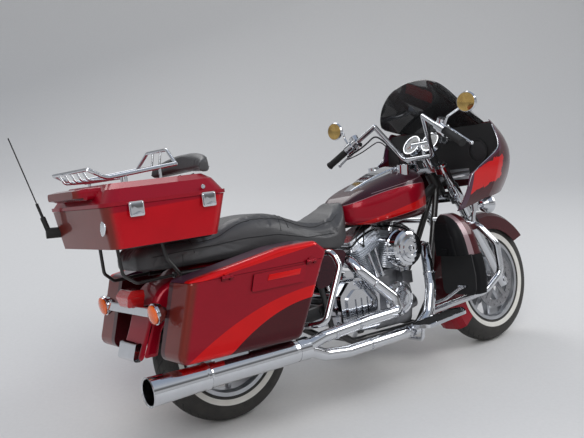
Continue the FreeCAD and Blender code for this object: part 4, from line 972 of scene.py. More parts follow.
@dataclass
class CadFinishes:
    """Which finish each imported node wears."""

    chrome: tuple = (
        "air_cleaner", "exhaust_pipes", "muffler", "pushrod_tubes", "primary_cover", "bag_guards",
        "engine_guard", "luggage_rack", "rear_brightwork", "horn", "rear_axle", "side_stand",
        "transmission_case", "tank_console", "floorboards")
    steered_chrome: tuple = ("fork", "front_axle", "handlebar", "hand_controls", "mirrors", "gauge_pod")
    front_x: float = 1.612

    def table(self) -> dict[str, tuple[Finish, Stance]]:
        """Gives the finish and stance for every node.

        Returns:
            Finish and stance by the node's name.
        """
        lean, steer = Stance.LEANED, Stance.STEERED
        groups = (
            (lean, CHROME, self.chrome),
            (lean, ENAMEL, ("frame_tubes", "case_carrier", "swingarm", "rear_shocks")),
            (lean, EngineCase(), ("crankcase",)),
            (lean, FinnedBarrel(), ("cylinders",)),
            (lean, RUBBER, ("drive_belt", "antenna")),
            (lean, HIDE, ("seat", "backrest")),
            (lean, Smoke(), ("windshield",)),
            (lean, MOULDING, ("instrument_panel",)),
            (lean, RED_LENS, ("tail_lamp",)),
            (lean, CLEAR_LENS, ("headlamps",)),
            (lean, Paint(Scheme.PLAIN), ("rear_fender",)),
            (lean, Paint(Scheme.TANK), ("fuel_tank",)),
            (lean, Paint(Scheme.BAG), ("saddlebags",)),
            (lean, Paint(Scheme.BAG_LID), ("bag_lid_right", "bag_lid_left")),
            (lean, Paint(Scheme.CASE), ("top_case",)),
            (lean, Paint(Scheme.CASE_LID), ("case_lid",)),
            (lean, Paint(Scheme.SIDE, Tone.MIDNIGHT), ("side_covers",)),
            (lean, Paint(Scheme.NOSE, Tone.BURGUNDY), ("fairing_shell",)),
            (lean, Paint(Scheme.LOWER, Tone.BURGUNDY), ("lower_fairings",)),
            (lean, Tread(0.0, "rear_tyre_rubber"), ("rear_tyre",)),
            (lean, ALLOY, ("rear_wheel",)),
            (lean, Disc(0.0, "rear_disc_steel"), ("rear_disc",)),
            (lean, DARK_ALLOY, ("rear_pulley",)),
            (steer, CHROME, self.steered_chrome),
            (steer, ALLOY, ("front_calipers", "front_wheel")),
            (steer, RUBBER, ("grips",)),
            (steer, Paint(Scheme.FRONT_GUARD, Tone.BURGUNDY), ("front_fender",)),
            (steer, Tread(self.front_x, "front_tyre_rubber"), ("front_tyre",)),
            (steer, Disc(self.front_x, "front_disc_steel"), ("front_discs",)))
        return {name: (finish, stance) for stance, finish, names in groups for name in names}

    def build(self) -> None:
        """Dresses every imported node."""
        rows = self.table()
        for name, node in frame["nodes"].items():
            finish, stance = rows[name]
            wardrobe.dress(node, finish, stance)
            log.info("node %s wears %s", name, type(finish).__name__)


@dataclass
class Workbench:
    """Starts pieces from primitives, shapes them in edit mode, places them and finishes them."""

    def clear(self) -> None:
        """Leaves nothing selected."""
        bpy.ops.object.select_all(action="DESELECT")

    def only(self, obj: bpy.types.Object) -> None:
        """Selects one object alone.

        Args:
            obj: The piece.
        """
        self.clear()
        obj.select_set(True)
        bpy.context.view_layer.objects.active = obj

    def mend(self) -> None:
        """Merges doubles and turns all faces outward, in edit mode."""
        bpy.ops.mesh.select_all(action="SELECT")
        bpy.ops.mesh.remove_doubles(threshold=1e-6)
        bpy.ops.mesh.normals_make_consistent(inside=False)

    def turned(self, rings: Pairs, sides: int = 40) -> bpy.types.Object:
        """Draws a round piece along Z by extruding a disc from ring to ring.

        Args:
            rings: Radius and height of each ring, in millimetres.
            sides: Corners of each ring.

        Returns:
            The piece at the origin.
        """
        self.clear()
        (radius, low), rest = rings[0], rings[1:]
        bpy.ops.mesh.primitive_circle_add(vertices=sides, radius=radius / 1000, fill_type="NGON")
        obj = bpy.context.object
        bpy.ops.object.mode_set(mode="EDIT")
        bpy.ops.mesh.select_all(action="SELECT")
        bpy.ops.transform.translate(value=(0, 0, low / 1000))
        for wide, high in rest:
            bpy.ops.mesh.extrude_region_move(TRANSFORM_OT_translate={"value": (0, 0, (high - low) / 1000)})
            share = wide / radius
            bpy.ops.transform.resize(value=(share, share, 1), center_override=(0, 0, high / 1000))
            radius, low = wide, high
        self.mend()
        bpy.ops.object.mode_set(mode="OBJECT")
        return obj

    def plate(self, outline: Sequence[tuple[float, float]], thick: float, edge: float) -> bpy.types.Object:
        """Draws a flat plate along Z with a softened upper edge.

        Args:
            outline: Corners in order, in millimetres.
            thick: Height of its side, in millimetres.
            edge: Width of the softened edge, in millimetres.

        Returns:
            The piece at the origin.
        """
        self.clear()
        bpy.ops.mesh.primitive_circle_add(vertices=len(outline), radius=1.0, fill_type="NGON")
        obj = bpy.context.object
        for vertex, (u, v) in zip(obj.data.vertices, outline):
            vertex.co = (u / 1000, v / 1000, 0.0)
        bpy.ops.object.mode_set(mode="EDIT")
        bpy.ops.mesh.select_all(action="SELECT")
        bpy.ops.mesh.extrude_region_move(TRANSFORM_OT_translate={"value": (0, 0, thick / 1000)})
        bpy.ops.mesh.inset(thickness=edge / 1000, depth=edge / 2000)
        self.mend()
        bpy.ops.object.mode_set(mode="OBJECT")
        return obj

    def wire(self, points: Sequence[Vector], radius: float, order: int = 3) -> bpy.types.Object:
        """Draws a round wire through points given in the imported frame, in metres.

        Args:
            points: Points along it.
            radius: Radius in millimetres.
            order: How freely the wire follows its points.

        Returns:
            The wire as a mesh, in its place.
        """
        self.clear()
        bpy.ops.curve.primitive_nurbs_path_add()
        obj = bpy.context.object
        curve = obj.data
        curve.splines.clear()
        spline = curve.splines.new("NURBS")
        spline.points.add(len(points) - 1)
        for knot, point in zip(spline.points, points):
            knot.co = (*point, 1.0)
        spline.use_endpoint_u, spline.order_u, spline.resolution_u = True, order, 6
        curve.bevel_depth, curve.bevel_resolution, curve.use_fill_caps = radius / 1000, 3, True
        self.only(obj)
        bpy.ops.object.convert(target="MESH")
        obj = bpy.context.object
        bpy.ops.object.mode_set(mode="EDIT")
        self.mend()
        bpy.ops.object.mode_set(mode="OBJECT")
        return obj

    def settle(self, obj: bpy.types.Object, centre: Point, axis: Point, stance: Stance = Stance.LEANED,
               across: Point = (0.0, 1.0, 0.0), grow: Point = (1.0, 1.0, 1.0)) -> None:
        """Moves a piece from the origin to its place on the bike, with its Z along axis.

        Args:
            obj: The piece, drawn at the origin.
            centre: Where its origin goes, in the upright bike's millimetres.
            axis: Where its Z goes.
            stance: Which of the bike's frames this is in.
            across: Roughly where its X goes.
            grow: Scale along its own axes.
        """
        up = Vector(axis).normalized()
        side = Vector(across)
        side = (side - up * side.dot(up)).normalized()
        turn = Matrix((side, up.cross(side), up)).transposed().to_4x4()
        middle = Matrix.Translation(Vector(centre) / 1000)
        obj.matrix_world = bike.turns[stance] @ middle @ turn @ Matrix.Diagonal((*grow, 1.0))
        self.only(obj)
        bpy.ops.object.transform_apply(location=True, rotation=True, scale=True)

    def join(self, parts: Sequence[bpy.types.Object]) -> bpy.types.Object:
        """Makes several pieces one.

        Args:
            parts: The pieces.

        Returns:
            The one piece that is left.
        """
        self.only(parts[0])
        for part in parts[1:]:
            part.select_set(True)
        if len(parts) > 1:
            bpy.ops.object.join()
        return parts[0]

    def repeat(self, model: bpy.types.Object, places: Places, stance: Stance = Stance.LEANED,
               across: Point = (0.0, 1.0, 0.0)) -> bpy.types.Object:
        """Copies a model to each centre and axis, and joins the copies.

        Args:
            model: The piece to copy.
            places: Centre and axis of each copy.
            stance: Which of the bike's frames it is drawn in.
            across: Roughly where each copy's X goes.

        Returns:
            The joined copies.
        """
        twins = []
        for centre, axis in places:
            twin = model.copy()
            twin.data = model.data.copy()
            bpy.context.scene.collection.objects.link(twin)
            self.settle(twin, centre, axis, stance, across)
            twins.append(twin)
        bpy.data.objects.remove(model)
        return self.join(twins)

    def deliver(self, obj: bpy.types.Object, name: str, finish: Finish, body: str,
                stance: Stance = Stance.LEANED, angle: float = 32.0) -> bpy.types.Object:
        """Names, smooths and dresses a piece and lets it ride on its body.

        Args:
            obj: The piece.
            name: The piece's name.
            finish: The finish it wears.
            body: The body it rides on.
            stance: Which of the bike's frames it is drawn in.
            angle: Edges sharper than this stay sharp, in degrees.

        Returns:
            The same piece.
        """
        obj.name = name
        obj.data.name = name
        self.only(obj)
        bpy.ops.object.shade_smooth_by_angle(angle=math.radians(angle))
        wardrobe.dress(obj, finish, stance)
        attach(obj, body)
        log.info("piece %s on %s", name, body)
        return obj


bench = Workbench()


def both_sides(places: Places) -> list[tuple[Point, Point]]:
    """Gives each centre and axis with its mirror image across the bike's middle."""
    return [(tuple(c * k for c, k in zip(centre, (1, s, 1))), tuple(c * k for c, k in zip(axis, (1, s, 1))))
            for s in (-1, 1) for centre, axis in places]


def around(x: float, z: float, radius: float, count: int, start: float = 0.0) -> list[tuple[float, float]]:
    """Gives places round a circle, as seen from the side."""
    turns = [start + math.tau * k / count for k in range(count)]
    return [(x + radius * math.cos(turn), z + radius * math.sin(turn)) for turn in turns]


def between(rows: Pairs, where: float) -> float:
    """Reads a table of pairs in straight runs.

    Args:
        rows: Pairs, in rising order of their first number.
        where: The first number to look up.

    Returns:
        The second number there.
    """
    for (x0, y0), (x1, y1) in zip(rows, rows[1:]):
        if where <= x1:
            return y0 + (y1 - y0) * (where - x0) / (x1 - x0)
    return rows[-1][1]


def rounded_corners(wide: float, tall: float, radius: float, steps: int) -> list[tuple[float, float]]:
    """Gives the corners of a rounded rectangle about the origin, in order.

    Args:
        wide: Width in millimetres.
        tall: Height in millimetres.
        radius: Radius in millimetres.
        steps: Parts of each rounded corner.

    Returns:
        The corners, in millimetres.
    """
    points = []
    for number, (u, v) in enumerate(((1, 1), (-1, 1), (-1, -1), (1, -1))):
        for k in range(steps + 1):
            turn = math.pi / 2 * (number + k / steps)
            across, over = u * (wide / 2 - radius), v * (tall / 2 - radius)
            points.append((across + radius * math.cos(turn), over + radius * math.sin(turn)))
    return points


@dataclass
class Cushion:
    """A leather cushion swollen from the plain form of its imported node."""

    node: str
    body: str
    voxel: float
    travel: float
    fill: float
    pressure: float = 4.0
    frames: int = 20
    held_below: float = 0.0

    def _swell(self, obj: bpy.types.Object) -> None:
        """Blows the cover up a little by cloth pressure and caps how far it moves.

        Args:
            obj: The piece.
        """
        before = [vertex.co.copy() for vertex in obj.data.vertices]
        inverse = bike.turns[Stance.LEANED].inverted()
        pins = obj.vertex_groups.new(name="held")
        held = [v.index for v in obj.data.vertices if (inverse @ v.co).z < self.held_below]
        pins.add(held, 1.0, "REPLACE")
        cloth = obj.modifiers.new("cover", "CLOTH")
        settings = cloth.settings
        settings.quality = 4
        settings.mass = 0.4
        settings.tension_stiffness = settings.compression_stiffness = 12.0
        settings.shear_stiffness, settings.bending_stiffness = 6.0, 1.2
        settings.use_pressure, settings.uniform_pressure_force = True, self.pressure
        settings.effector_weights.gravity = 0.0
        if held:
            settings.vertex_group_mass = "held"
        cloth.point_cache.frame_start, cloth.point_cache.frame_end = 1, self.frames
        for number in range(1, self.frames + 1):
            bpy.context.scene.frame_set(number)
        bench.only(obj)
        bpy.ops.object.modifier_apply(modifier=cloth.name)
        bpy.context.scene.frame_set(1)
        for vertex, start in zip(obj.data.vertices, before):
            move = vertex.co - start
            if move.length > self.travel:
                vertex.co = start + move * (self.travel / move.length)
        obj.vertex_groups.clear()

    def build(self) -> bpy.types.Object:
        """Makes the cushion.

        Returns:
            The finished cushion, which stands in for its node.
        """
        source = frame["nodes"][self.node]
        obj = source.copy()
        obj.data = source.data.copy()
        bpy.context.scene.collection.objects.link(obj)
        obj.parent = None
        bench.only(obj)
        bpy.ops.object.mode_set(mode="EDIT")
        bpy.ops.mesh.select_all(action="SELECT")
        bpy.ops.mesh.remove_doubles(threshold=1e-5)
        bpy.ops.object.mode_set(mode="OBJECT")
        remesh = obj.modifiers.new("even_mesh", "REMESH")
        remesh.mode, remesh.voxel_size = "VOXEL", self.voxel
        bpy.ops.object.modifier_apply(modifier=remesh.name)
        relax = obj.modifiers.new("relax", "SMOOTH")
        relax.iterations, relax.factor = 6, 0.5
        bpy.ops.object.modifier_apply(modifier=relax.name)
        self._swell(obj)
        fine = obj.modifiers.new("fine", "SUBSURF")
        fine.levels = fine.render_levels = 1
        bpy.ops.object.modifier_apply(modifier=fine.name)
        bench.deliver(obj, self.node + "_cover", HIDE, self.body, angle=60.0)
        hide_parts(self.node)
        return obj


@dataclass
class Seam:
    """A sewn welt laid on a cushion: rays from its points find the cover."""

    name: str
    points: tuple[Point, ...]
    toward: Point
    radius: float = 1.9
    step: float = 14.0

    def build(self, cover: bpy.types.Object, body: str) -> None:
        """Finds the cover below each point and draws the welt there.

        Args:
            cover: The finished cushion.
            body: The body it rides on.
        """
        tree = BVHTree.FromObject(cover, bpy.context.evaluated_depsgraph_get())
        way = bike.way(self.toward)
        found = []
        for first, second in zip(self.points, self.points[1:]):
            steps = max(2, int(math.dist(first, second) / self.step))
            for k in range(steps):
                share = k / steps
                start = bike.point([(a + (b - a) * share) / 1000 for a, b in zip(first, second)])
                place, normal, _, _ = tree.ray_cast(start, way)
                if place is not None:
                    found.append(place + normal * 0.0004)
        if len(found) > 3:
            bench.deliver(bench.wire(found, self.radius), self.name, WELT, body, angle=60.0)


@dataclass
class Upholstery:
    """The long seat and the passenger's backrest, with their welts."""

    above: float = 960.0
    beside: float = 320.0
    ahead: float = 60.0
    cross: Pairs = ((312, -158), (312, -80), (312, 0), (312, 80), (312, 158))
    waist: Pairs = ((268, -150), (292, -90), (300, 0), (292, 90), (268, 150))
    tail: Pairs = ((-150, -140), (-150, -70), (-150, 0), (-150, 70), (-150, 140))
    edge: Pairs = (
        (-350, 92), (-300, 112), (-40, 124), (70, 122), (200, 120), (300, 118), (430, 128), (560, 124),
        (620, 100))
    skirt: Pairs = ((-330, 752), (-200, 758), (-40, 760), (90, 768), (250, 762), (400, 726), (560, 724))
    side_cut: Pairs = ((-210, 700), (-206, 730), (-198, 757))
    ridge: Pairs = ((-205, 1112), (-150, 1122), (-70, 1130), (0, 1133), (70, 1130), (150, 1122), (205, 1112))
    low: Pairs = ((-205, 1078), (-150, 1078), (-70, 1078), (0, 1078), (70, 1078), (150, 1078), (205, 1078))

    def build(self) -> None:
        """Swells both cushions and sews their welts."""
        seat = Cushion("seat", "chassis", 0.006, 0.012, 0.75, held_below=0.712).build()
        rest = Cushion("backrest", "case_lid_set", 0.005, 0.008, 0.8).build()
        down, back = (0, 0, -1), (-1, 0, 0)
        for name, row in (("cross_welt", self.cross), ("waist_welt", self.waist), ("tail_welt", self.tail)):
            Seam(f"seat_{name}", tuple((x, y, self.above) for x, y in row), down).build(seat, "chassis")
        for side, label in SIDES:
            edge = tuple((x, side * y, self.above) for x, y in self.edge)
            Seam(f"seat_edge_welt_{label}", edge, down).build(seat, "chassis")
            for name, row in (("skirt_welt", self.skirt), ("side_cut", self.side_cut)):
                spots = tuple((x, side * self.beside, z) for x, z in row)
                Seam(f"seat_{name}_{label}", spots, (0, -side, 0)).build(seat, "chassis")
        for name, row in (("backrest_welt", self.ridge), ("backrest_low_welt", self.low)):
            Seam(name, tuple((self.ahead, y, z) for y, z in row), back).build(rest, "case_lid_set")


@dataclass
class Screen:
    """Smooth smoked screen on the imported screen's own surface."""

    edge: Pairs = ((0, 1402), (90, 1394), (172, 1366), (236, 1322), (288, 1266), (330, 1196), (352, 1120))
    foot: Pairs = ((1340, 1179), (1396, 1158), (1640, 1068), (1760, 1020))
    radius: float = 414.0
    taper: float = 0.34
    foot_z: float = 1070.0
    middle_x: float = 1126.0
    middle_z: float = 1215.0
    lean: float = 0.78
    thick: float = 5.5
    off_cowl: float = 1.5
    corner: float = 14.0
    columns: int = 64
    rows: int = 36

    def _top(self, y: float) -> float:
        """Height of the screen's upper edge, smooth through its points.

        Args:
            y: Distance from the bike's middle.

        Returns:
            Height in millimetres.
        """
        last = len(self.edge) - 2
        i = next((k for k in range(last) if y <= self.edge[k + 1][0]), last)
        (y0, z0), (y1, z1) = self.edge[i], self.edge[i + 1]
        before = self.edge[i - 1] if i > 0 else (2 * y0 - y1, z1)
        after = self.edge[i + 2] if i < last else (2 * y1 - y0, 2 * z1 - z0)
        slope_in = (z1 - before[1]) / (y1 - before[0])
        slope_out = (after[1] - z0) / (after[0] - y0)
        run = y1 - y0
        t = (y - y0) / run
        return ((2 * t ** 3 - 3 * t * t + 1) * z0 + (t ** 3 - 2 * t * t + t) * run * slope_in
                + (3 * t * t - 2 * t ** 3) * z1 + (t ** 3 - t * t) * run * slope_out)

    def _ahead(self, y: float, z: float) -> float:
        """How far forward the screen's outer face is."""
        r = self.radius - self.taper * (z - self.foot_z)
        return self.middle_x + (self.middle_z - z) * self.lean + math.sqrt(max(0.0, r * r - y * y))

    def _foot(self, y: float) -> float:
        """Height of the screen's lower edge, which follows the top of the cowl.

        Args:
            y: Distance from the bike's middle.

        Returns:
            Height in millimetres.
        """
        z = 1100.0
        for _ in range(20):
            z = 0.5 * z + 0.5 * (between(self.foot, self._ahead(y, z)) + self.off_cowl)
        return z

    def build(self) -> None:
        """Bends a grid to the screen's face and gives it its thickness."""
        bench.clear()
        bpy.ops.mesh.primitive_grid_add(x_subdivisions=self.columns, y_subdivisions=self.rows, size=2.0)
        obj = bpy.context.object
        wide = self.edge[-1][0] - 0.5
        while self._foot(wide) > self._top(wide) - self.corner:
            wide -= 0.5
        for vertex in obj.data.vertices:
            y = wide * math.sin(vertex.co.x * math.pi / 2)
            low = self._foot(y)
            z = low + (self._top(abs(y)) - low) * (vertex.co.y + 1) / 2
            vertex.co = bike.point((self._ahead(y, z) / 1000, y / 1000, z / 1000))
        bench.only(obj)
        bpy.ops.object.mode_set(mode="EDIT")
        bench.mend()
        bpy.ops.object.mode_set(mode="OBJECT")
        normal = obj.data.polygons[len(obj.data.polygons) // 2].normal
        if (bike.turns[Stance.LEANED].to_3x3().inverted() @ normal).x < 0:
            obj.data.flip_normals()
        wall = obj.modifiers.new("wall", "SOLIDIFY")
        wall.thickness, wall.offset = self.thick / 1000, -1.0
        bpy.ops.object.modifier_apply(modifier=wall.name)
        bench.deliver(obj, "screen_sheet", Smoke(), "chassis", angle=60.0)
        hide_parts("windshield")


@dataclass
class Lamps:
    """Amber lenses of the turn lamps, and the headlamps' rims and glasses."""

    rear: Pairs = ((37.4, 11.6), (37.6, 20.8), (33.0, 25.2), (24.6, 28.2), (12.0, 30.4), (0.6, 31.2))
    front: Pairs = ((40.6, 51.0), (40.8, 56.8), (34.0, 60.2), (24.0, 62.4), (12.0, 63.6), (0.6, 64.0))
    rim: Pairs = ((37.2, 63.6), (38.4, 64.2), (38.8, 58.0), (38.8, 50.0))
    glass: Pairs = ((36.6, 52.0), (33.0, 60.0), (24.4, 64.6), (12.0, 68.6), (0.6, 70.6))
    headlamp: Point = (1592, 92, 906)

    def build(self) -> None:
        """Fits the lenses of all four turn lamps and the twin headlamps."""
        ahead = (1, 0, 0)
        for name, rings, sides, finish, place in (
                ("rear_turn_lens", self.rear, 40, AMBER_LENS, ((-394, 250, 552), (-1, 0, -0.12))),
                ("front_turn_lens", self.front, 40, AMBER_LENS, ((1322, 318, 750), ahead)),
                ("headlamp_rims", self.rim, 48, CHROME, (self.headlamp, ahead)),
                ("headlamp_glasses", self.glass, 48, CLEAR_LENS, (self.headlamp, ahead))):
            pair = bench.repeat(bench.turned(rings, sides), both_sides([place]))
            bench.deliver(pair, name, finish, "chassis")


@dataclass
class Dials:
    """Faces and needles of the gauges on the bars and in the inner panel."""

    pod_tilt: Point = (-0.82, 0.0, 0.57)
    needle: Pairs = ((-2.4, -9), (2.4, -9), (0.7, 33), (-0.7, 33))
    panel_x: float = 1395.6
    panel_z: float = 1090.0
    panel_ys: tuple = (-135, -48, 48, 135)
    bezel: Pairs = ((24.6, -6.0), (24.6, 1.6), (23.6, 2.6), (21.0, 2.6), (20.2, 0.6))
    grille: Pairs = ((51.6, 0.0), (51.6, 2.0), (46.0, 4.0), (30.0, 5.4), (0.8, 6.0))

    def _pod(self) -> None:
        """Fits the two large dials on the bars, with their needles."""
        for side, label in SIDES:
            centre = (1284, side * 62, 1078)
            face = bench.turned(((45.6, 4.2), (45.6, 4.8)), 56)
            bench.settle(face, centre, self.pod_tilt, Stance.STEERED)
            dial = DialFace(f"dial_face_{label}", centre, self.pod_tilt, 0.045)
            bench.deliver(face, f"pod_dial_{label}", dial, "front_end", Stance.STEERED)
            needle = bench.plate(self.needle, 1.0, 0.3)
            bench.settle(needle, tuple(c + a * 6.0 for c, a in zip(centre, self.pod_tilt)), self.pod_tilt,
                         Stance.STEERED, across=(0.3, 0.5, 0.6))
            bench.deliver(needle, f"pod_needle_{label}", RED_LENS, "front_end", Stance.STEERED)

    def build(self) -> None:
        """Fits the two large dials, the four small ones and the speakers' grilles."""
        self._pod()
        back = (-1, 0, 0)
        for number, y in enumerate(self.panel_ys):
            centre = (self.panel_x, y, self.panel_z)
            face = bench.turned(((20.0, 0.0), (20.0, 1.0)), 40)
            bench.settle(face, centre, back)
            dial = DialFace(f"panel_face_{number}", centre, back, 0.02)
            bench.deliver(face, f"panel_dial_{number}", dial, "chassis")
        gauges = [((self.panel_x, y, self.panel_z), back) for y in self.panel_ys]
        bezels = bench.repeat(bench.turned(self.bezel, 40), gauges)
        bench.deliver(bezels, "panel_bezels", CHROME, "chassis")
        speakers = [((1403.4, y, 1010), back) for y in (-262, 262)]
        grilles = bench.repeat(bench.turned(self.grille, 48), speakers)
        bench.deliver(grilles, "speaker_grilles", GRILLE, "chassis")


@dataclass
class Mirrors:
    """Glass in the two oval mirrors."""

    x: float = 1110.8
    y: float = 452.0
    z: float = 1222.0
    wide: float = 1.12
    tall: float = 0.96

    def build(self) -> None:
        """Fits the glass just inside each rim."""
        for side, label in SIDES:
            glass = bench.turned(((44.4, 0.0), (44.4, 0.6), (43.4, 1.0)), 64)
            bench.settle(glass, (self.x, side * self.y, self.z), (-1, 0, 0), Stance.STEERED,
                         grow=(self.wide, self.tall, 1.0))
            bench.deliver(glass, f"mirror_glass_{label}", MIRROR_GLASS, "front_end", Stance.STEERED)


@dataclass
class Luggage:
    """Locks, catches, reflectors and pulls on the box and the panniers."""

    reflector: Pairs = (
        (26.0, 0.0), (26.0, 2.0), (24.0, 5.0), (17.0, 8.6), (15.0, 7.6), (9.0, 11.0), (0.6, 12.0))
    case_lock: Pairs = ((8.5, 0.0), (8.5, 3.0), (7.6, 4.0), (3.6, 4.0), (3.4, 2.6), (0.5, 2.6))
    bag_lock: Pairs = ((7.0, 0.0), (7.0, 2.6), (6.2, 3.4), (3.0, 3.4), (2.8, 2.2), (0.5, 2.2))
    pull: Pairs = ((14, 612), (166, 612), (176, 634), (24, 634))
    bag_face: float = 399.6

    def _case(self) -> None:
        """Fits the box's catches, reflector and lock."""
        catch = bench.plate(rounded_corners(50, 46, 6, 4), 3.4, 1.6)
        spots = [((x, -318.6, 953.5), (0, -1, 0)) for x in (-449, -150)]
        catches = bench.repeat(catch, spots, across=(1, 0, 0))
        bench.deliver(catches, "case_catches", CHROME, "chassis")
        shield = bench.turned(self.reflector, 48)
        bench.settle(shield, (-553.6, -240, 899), (-1, 0, 0.18), grow=(0.8, 1.25, 1.0))
        bench.deliver(shield, "case_rear_reflector", CLEAR_LENS, "chassis")
        locks = bench.repeat(bench.turned(self.case_lock, 28), [((-162, -301.4, 1003), (0, -0.97, 0.25))])
        bench.deliver(locks, "case_lock", CHROME, "case_lid_set")

    def build(self) -> None:
        """Fits the box, then each pannier's lock and pull."""
        self._case()
        for side, label in SIDES:
            y = side * self.bag_face
            lock = bench.turned(self.bag_lock, 24)
            bench.settle(lock, (-12, y, 606), (0, side, 0))
            bench.deliver(lock, f"bag_lock_{label}", CHROME, "chassis")
            pull = bench.plate(self.pull, 3.0, 2.2)
            bench.settle(pull, (0, y, 0), (0, side, 0), across=(1, 0, 0), grow=(1, -side, 1))
            bench.deliver(pull, f"bag_pull_{label}", Paint(Scheme.PLAIN, Tone.SCARLET), "chassis")


@dataclass
class Fittings:
    """Round-headed bolts on the cam cover and the air cleaner."""

    head: Pairs = ((5.4, 0.0), (5.4, 1.6), (4.6, 3.4), (2.6, 4.2), (2.4, 3.0), (0.4, 3.0))

    def build(self) -> None:
        """Fits each cover's ring of bolts, which face right."""
        for name, size, y, ring in (
                ("cam_cover_bolts", 1.0, -145.6, around(902, 360, 70, 6, 0.3)),
                ("air_cleaner_bolts", 0.9, -251.1, around(905, 602, 22, 3, 0.5))):
            model = bench.turned(tuple((r * size, h * size) for r, h in self.head), 16)
            bolts = bench.repeat(model, [((x, y, z), (0, -1, 0)) for x, z in ring])
            bench.deliver(bolts, name, CHROME, "chassis")


@dataclass
class EngineDress:
    """Cover screws, pipe clamps and plug leads around the engine."""

    middle_x: float = 890.0
    crank_z: float = 372.0
    tilt_sine: float = 0.383
    tilt_cosine: float = 0.924
    pipe_radius: float = 26.0
    head: Pairs = ((5.4, -1.0), (5.4, 1.6), (4.6, 3.4), (2.6, 4.2), (2.4, 3.0), (0.4, 3.0))
    bands: tuple = (  # centre and direction of each clamp
        ((500, -305.1, 332.8), (-1, -0.085, -0.054)), ((360, -316.9, 325.2), (-1, -0.085, -0.054)),
        ((800, -280.7, 233.1), (-1, -0.068, -0.014)), ((560, -297.1, 229.8), (-1, -0.068, -0.014)),
        ((672, -243.5, 480.2), (0.68, -0.24, -0.69)), ((1024, -221.8, 462.7), (-0.33, -0.39, -0.86)))
    lead: tuple = ((40, -30, 728), (96, -66, 716), (138, -104, 688), (150, -112, 652), (138, -92, 626))
    gearbox: Pairs = (
        (530, 330), (560, 296), (606, 288), (668, 284), (712, 292), (722, 350), (722, 404), (690, 468),
        (630, 482), (576, 490), (524, 440), (518, 386))
    primary: Pairs = (
        (530, 330), (620, 280), (700, 276), (800, 276), (900, 276), (980, 286), (1004, 372), (950, 462),
        (850, 474), (750, 482), (650, 490), (575, 486), (512, 400))

    def _screws(self, name: str, node: str, side: int, size: float, spots: Sequence[tuple]) -> None:
        """Sets a row of screws where sideways rays meet the flat of a cover.

        Args:
            name: The row's name.
            node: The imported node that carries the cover.
            side: 1 for the left of the bike, -1 for the right.
            size: Scale of the screw's head.
            spots: Each screw's place along the bike and above the ground, in millimetres.
        """
        tree = BVHTree.FromObject(frame["nodes"][node], bpy.context.evaluated_depsgraph_get())
        inverse = bike.turns[Stance.LEANED].inverted()
        inward, places = bike.way((0, -side, 0)), []
        for x, z in spots:
            place, normal, _, _ = tree.ray_cast(bike.point((x / 1000, side * 0.6, z / 1000)), inward)
            if place is not None and normal.dot(inward) < -0.9:
                places.append((tuple(inverse @ place * 1000), (0, side, 0)))
        if places:
            model = bench.turned(tuple((r * size, h * size) for r, h in self.head), 16)
            bench.deliver(bench.repeat(model, places), name, CHROME, "chassis")

    def _clamps(self) -> None:
        """Puts a flat band with its screw round the pipes' heat shields."""
        bench.clear()
        bpy.ops.mesh.primitive_torus_add(major_radius=(self.pipe_radius + 0.6) / 1000, minor_radius=0.0016,
                                         major_segments=48, minor_segments=8)
        band = bpy.context.object
        bpy.ops.object.mode_set(mode="EDIT")
        bpy.ops.mesh.select_all(action="SELECT")
        bpy.ops.transform.resize(value=(1, 1, 3.6))
        bpy.ops.object.mode_set(mode="OBJECT")
        screw_places = []
        for centre, way in self.bands:
            along = Vector(way).normalized()
            out = Vector((0, -1, -0.5))
            out = (out - along * out.dot(along)).normalized()
            head = Vector(centre) + out * (self.pipe_radius + 3.4)
            screw_places.append((tuple(head), tuple(along.cross(out))))
        screw = bench.turned(((3.0, -9.0), (3.0, 8.0), (4.4, 8.0), (4.4, 12.0), (0.5, 12.6)), 14)
        parts = [bench.repeat(band, self.bands), bench.repeat(screw, screw_places)]
        bench.deliver(bench.join(parts), "heat_shield_clamps", CHROME, "chassis")

    def _leads(self) -> None:
        """Runs a plug lead to each cylinder head."""
        for sign, label in ((1, "front"), (-1, "rear")):
            run = bench.wire([bike.point(((self.middle_x + sign * x) / 1000, y / 1000, z / 1000))
                              for x, y, z in self.lead], 3.6)
            boot = bench.turned(((6.4, -14.0), (7.6, -12.0), (7.0, 8.0), (5.0, 16.0), (3.6, 20.0)), 20)
            bench.settle(boot, (self.middle_x + sign * 140, -95, 630), (sign * 0.35, -0.55, 0.76))
            bench.deliver(bench.join([run, boot]), f"plug_lead_{label}", RUBBER, "chassis")

    def build(self) -> None:
        """Fits the screws, the clamps and the plug leads."""
        rockers = tuple(
            (self.middle_x + sign * (away * self.tilt_sine + shift * self.tilt_cosine),
             self.crank_z + away * self.tilt_cosine - shift * self.tilt_sine)
            for sign in (1, -1) for away in (318, 346) for shift in (-58, -20, 20, 58))
        self._screws("gearbox_screws", "transmission_case", -1, 1.0, self.gearbox)
        self._screws("primary_screws", "primary_cover", 1, 1.05, self.primary)
        self._screws("clutch_screws", "primary_cover", 1, 0.9, around(640, 380, 66, 5))
        self._screws("case_screws", "crankcase", -1, 0.9, around(self.middle_x, self.crank_z, 132, 12))
        self._screws("rocker_screws", "cylinders", -1, 1.1, rockers)
        self._clamps()
        self._leads()


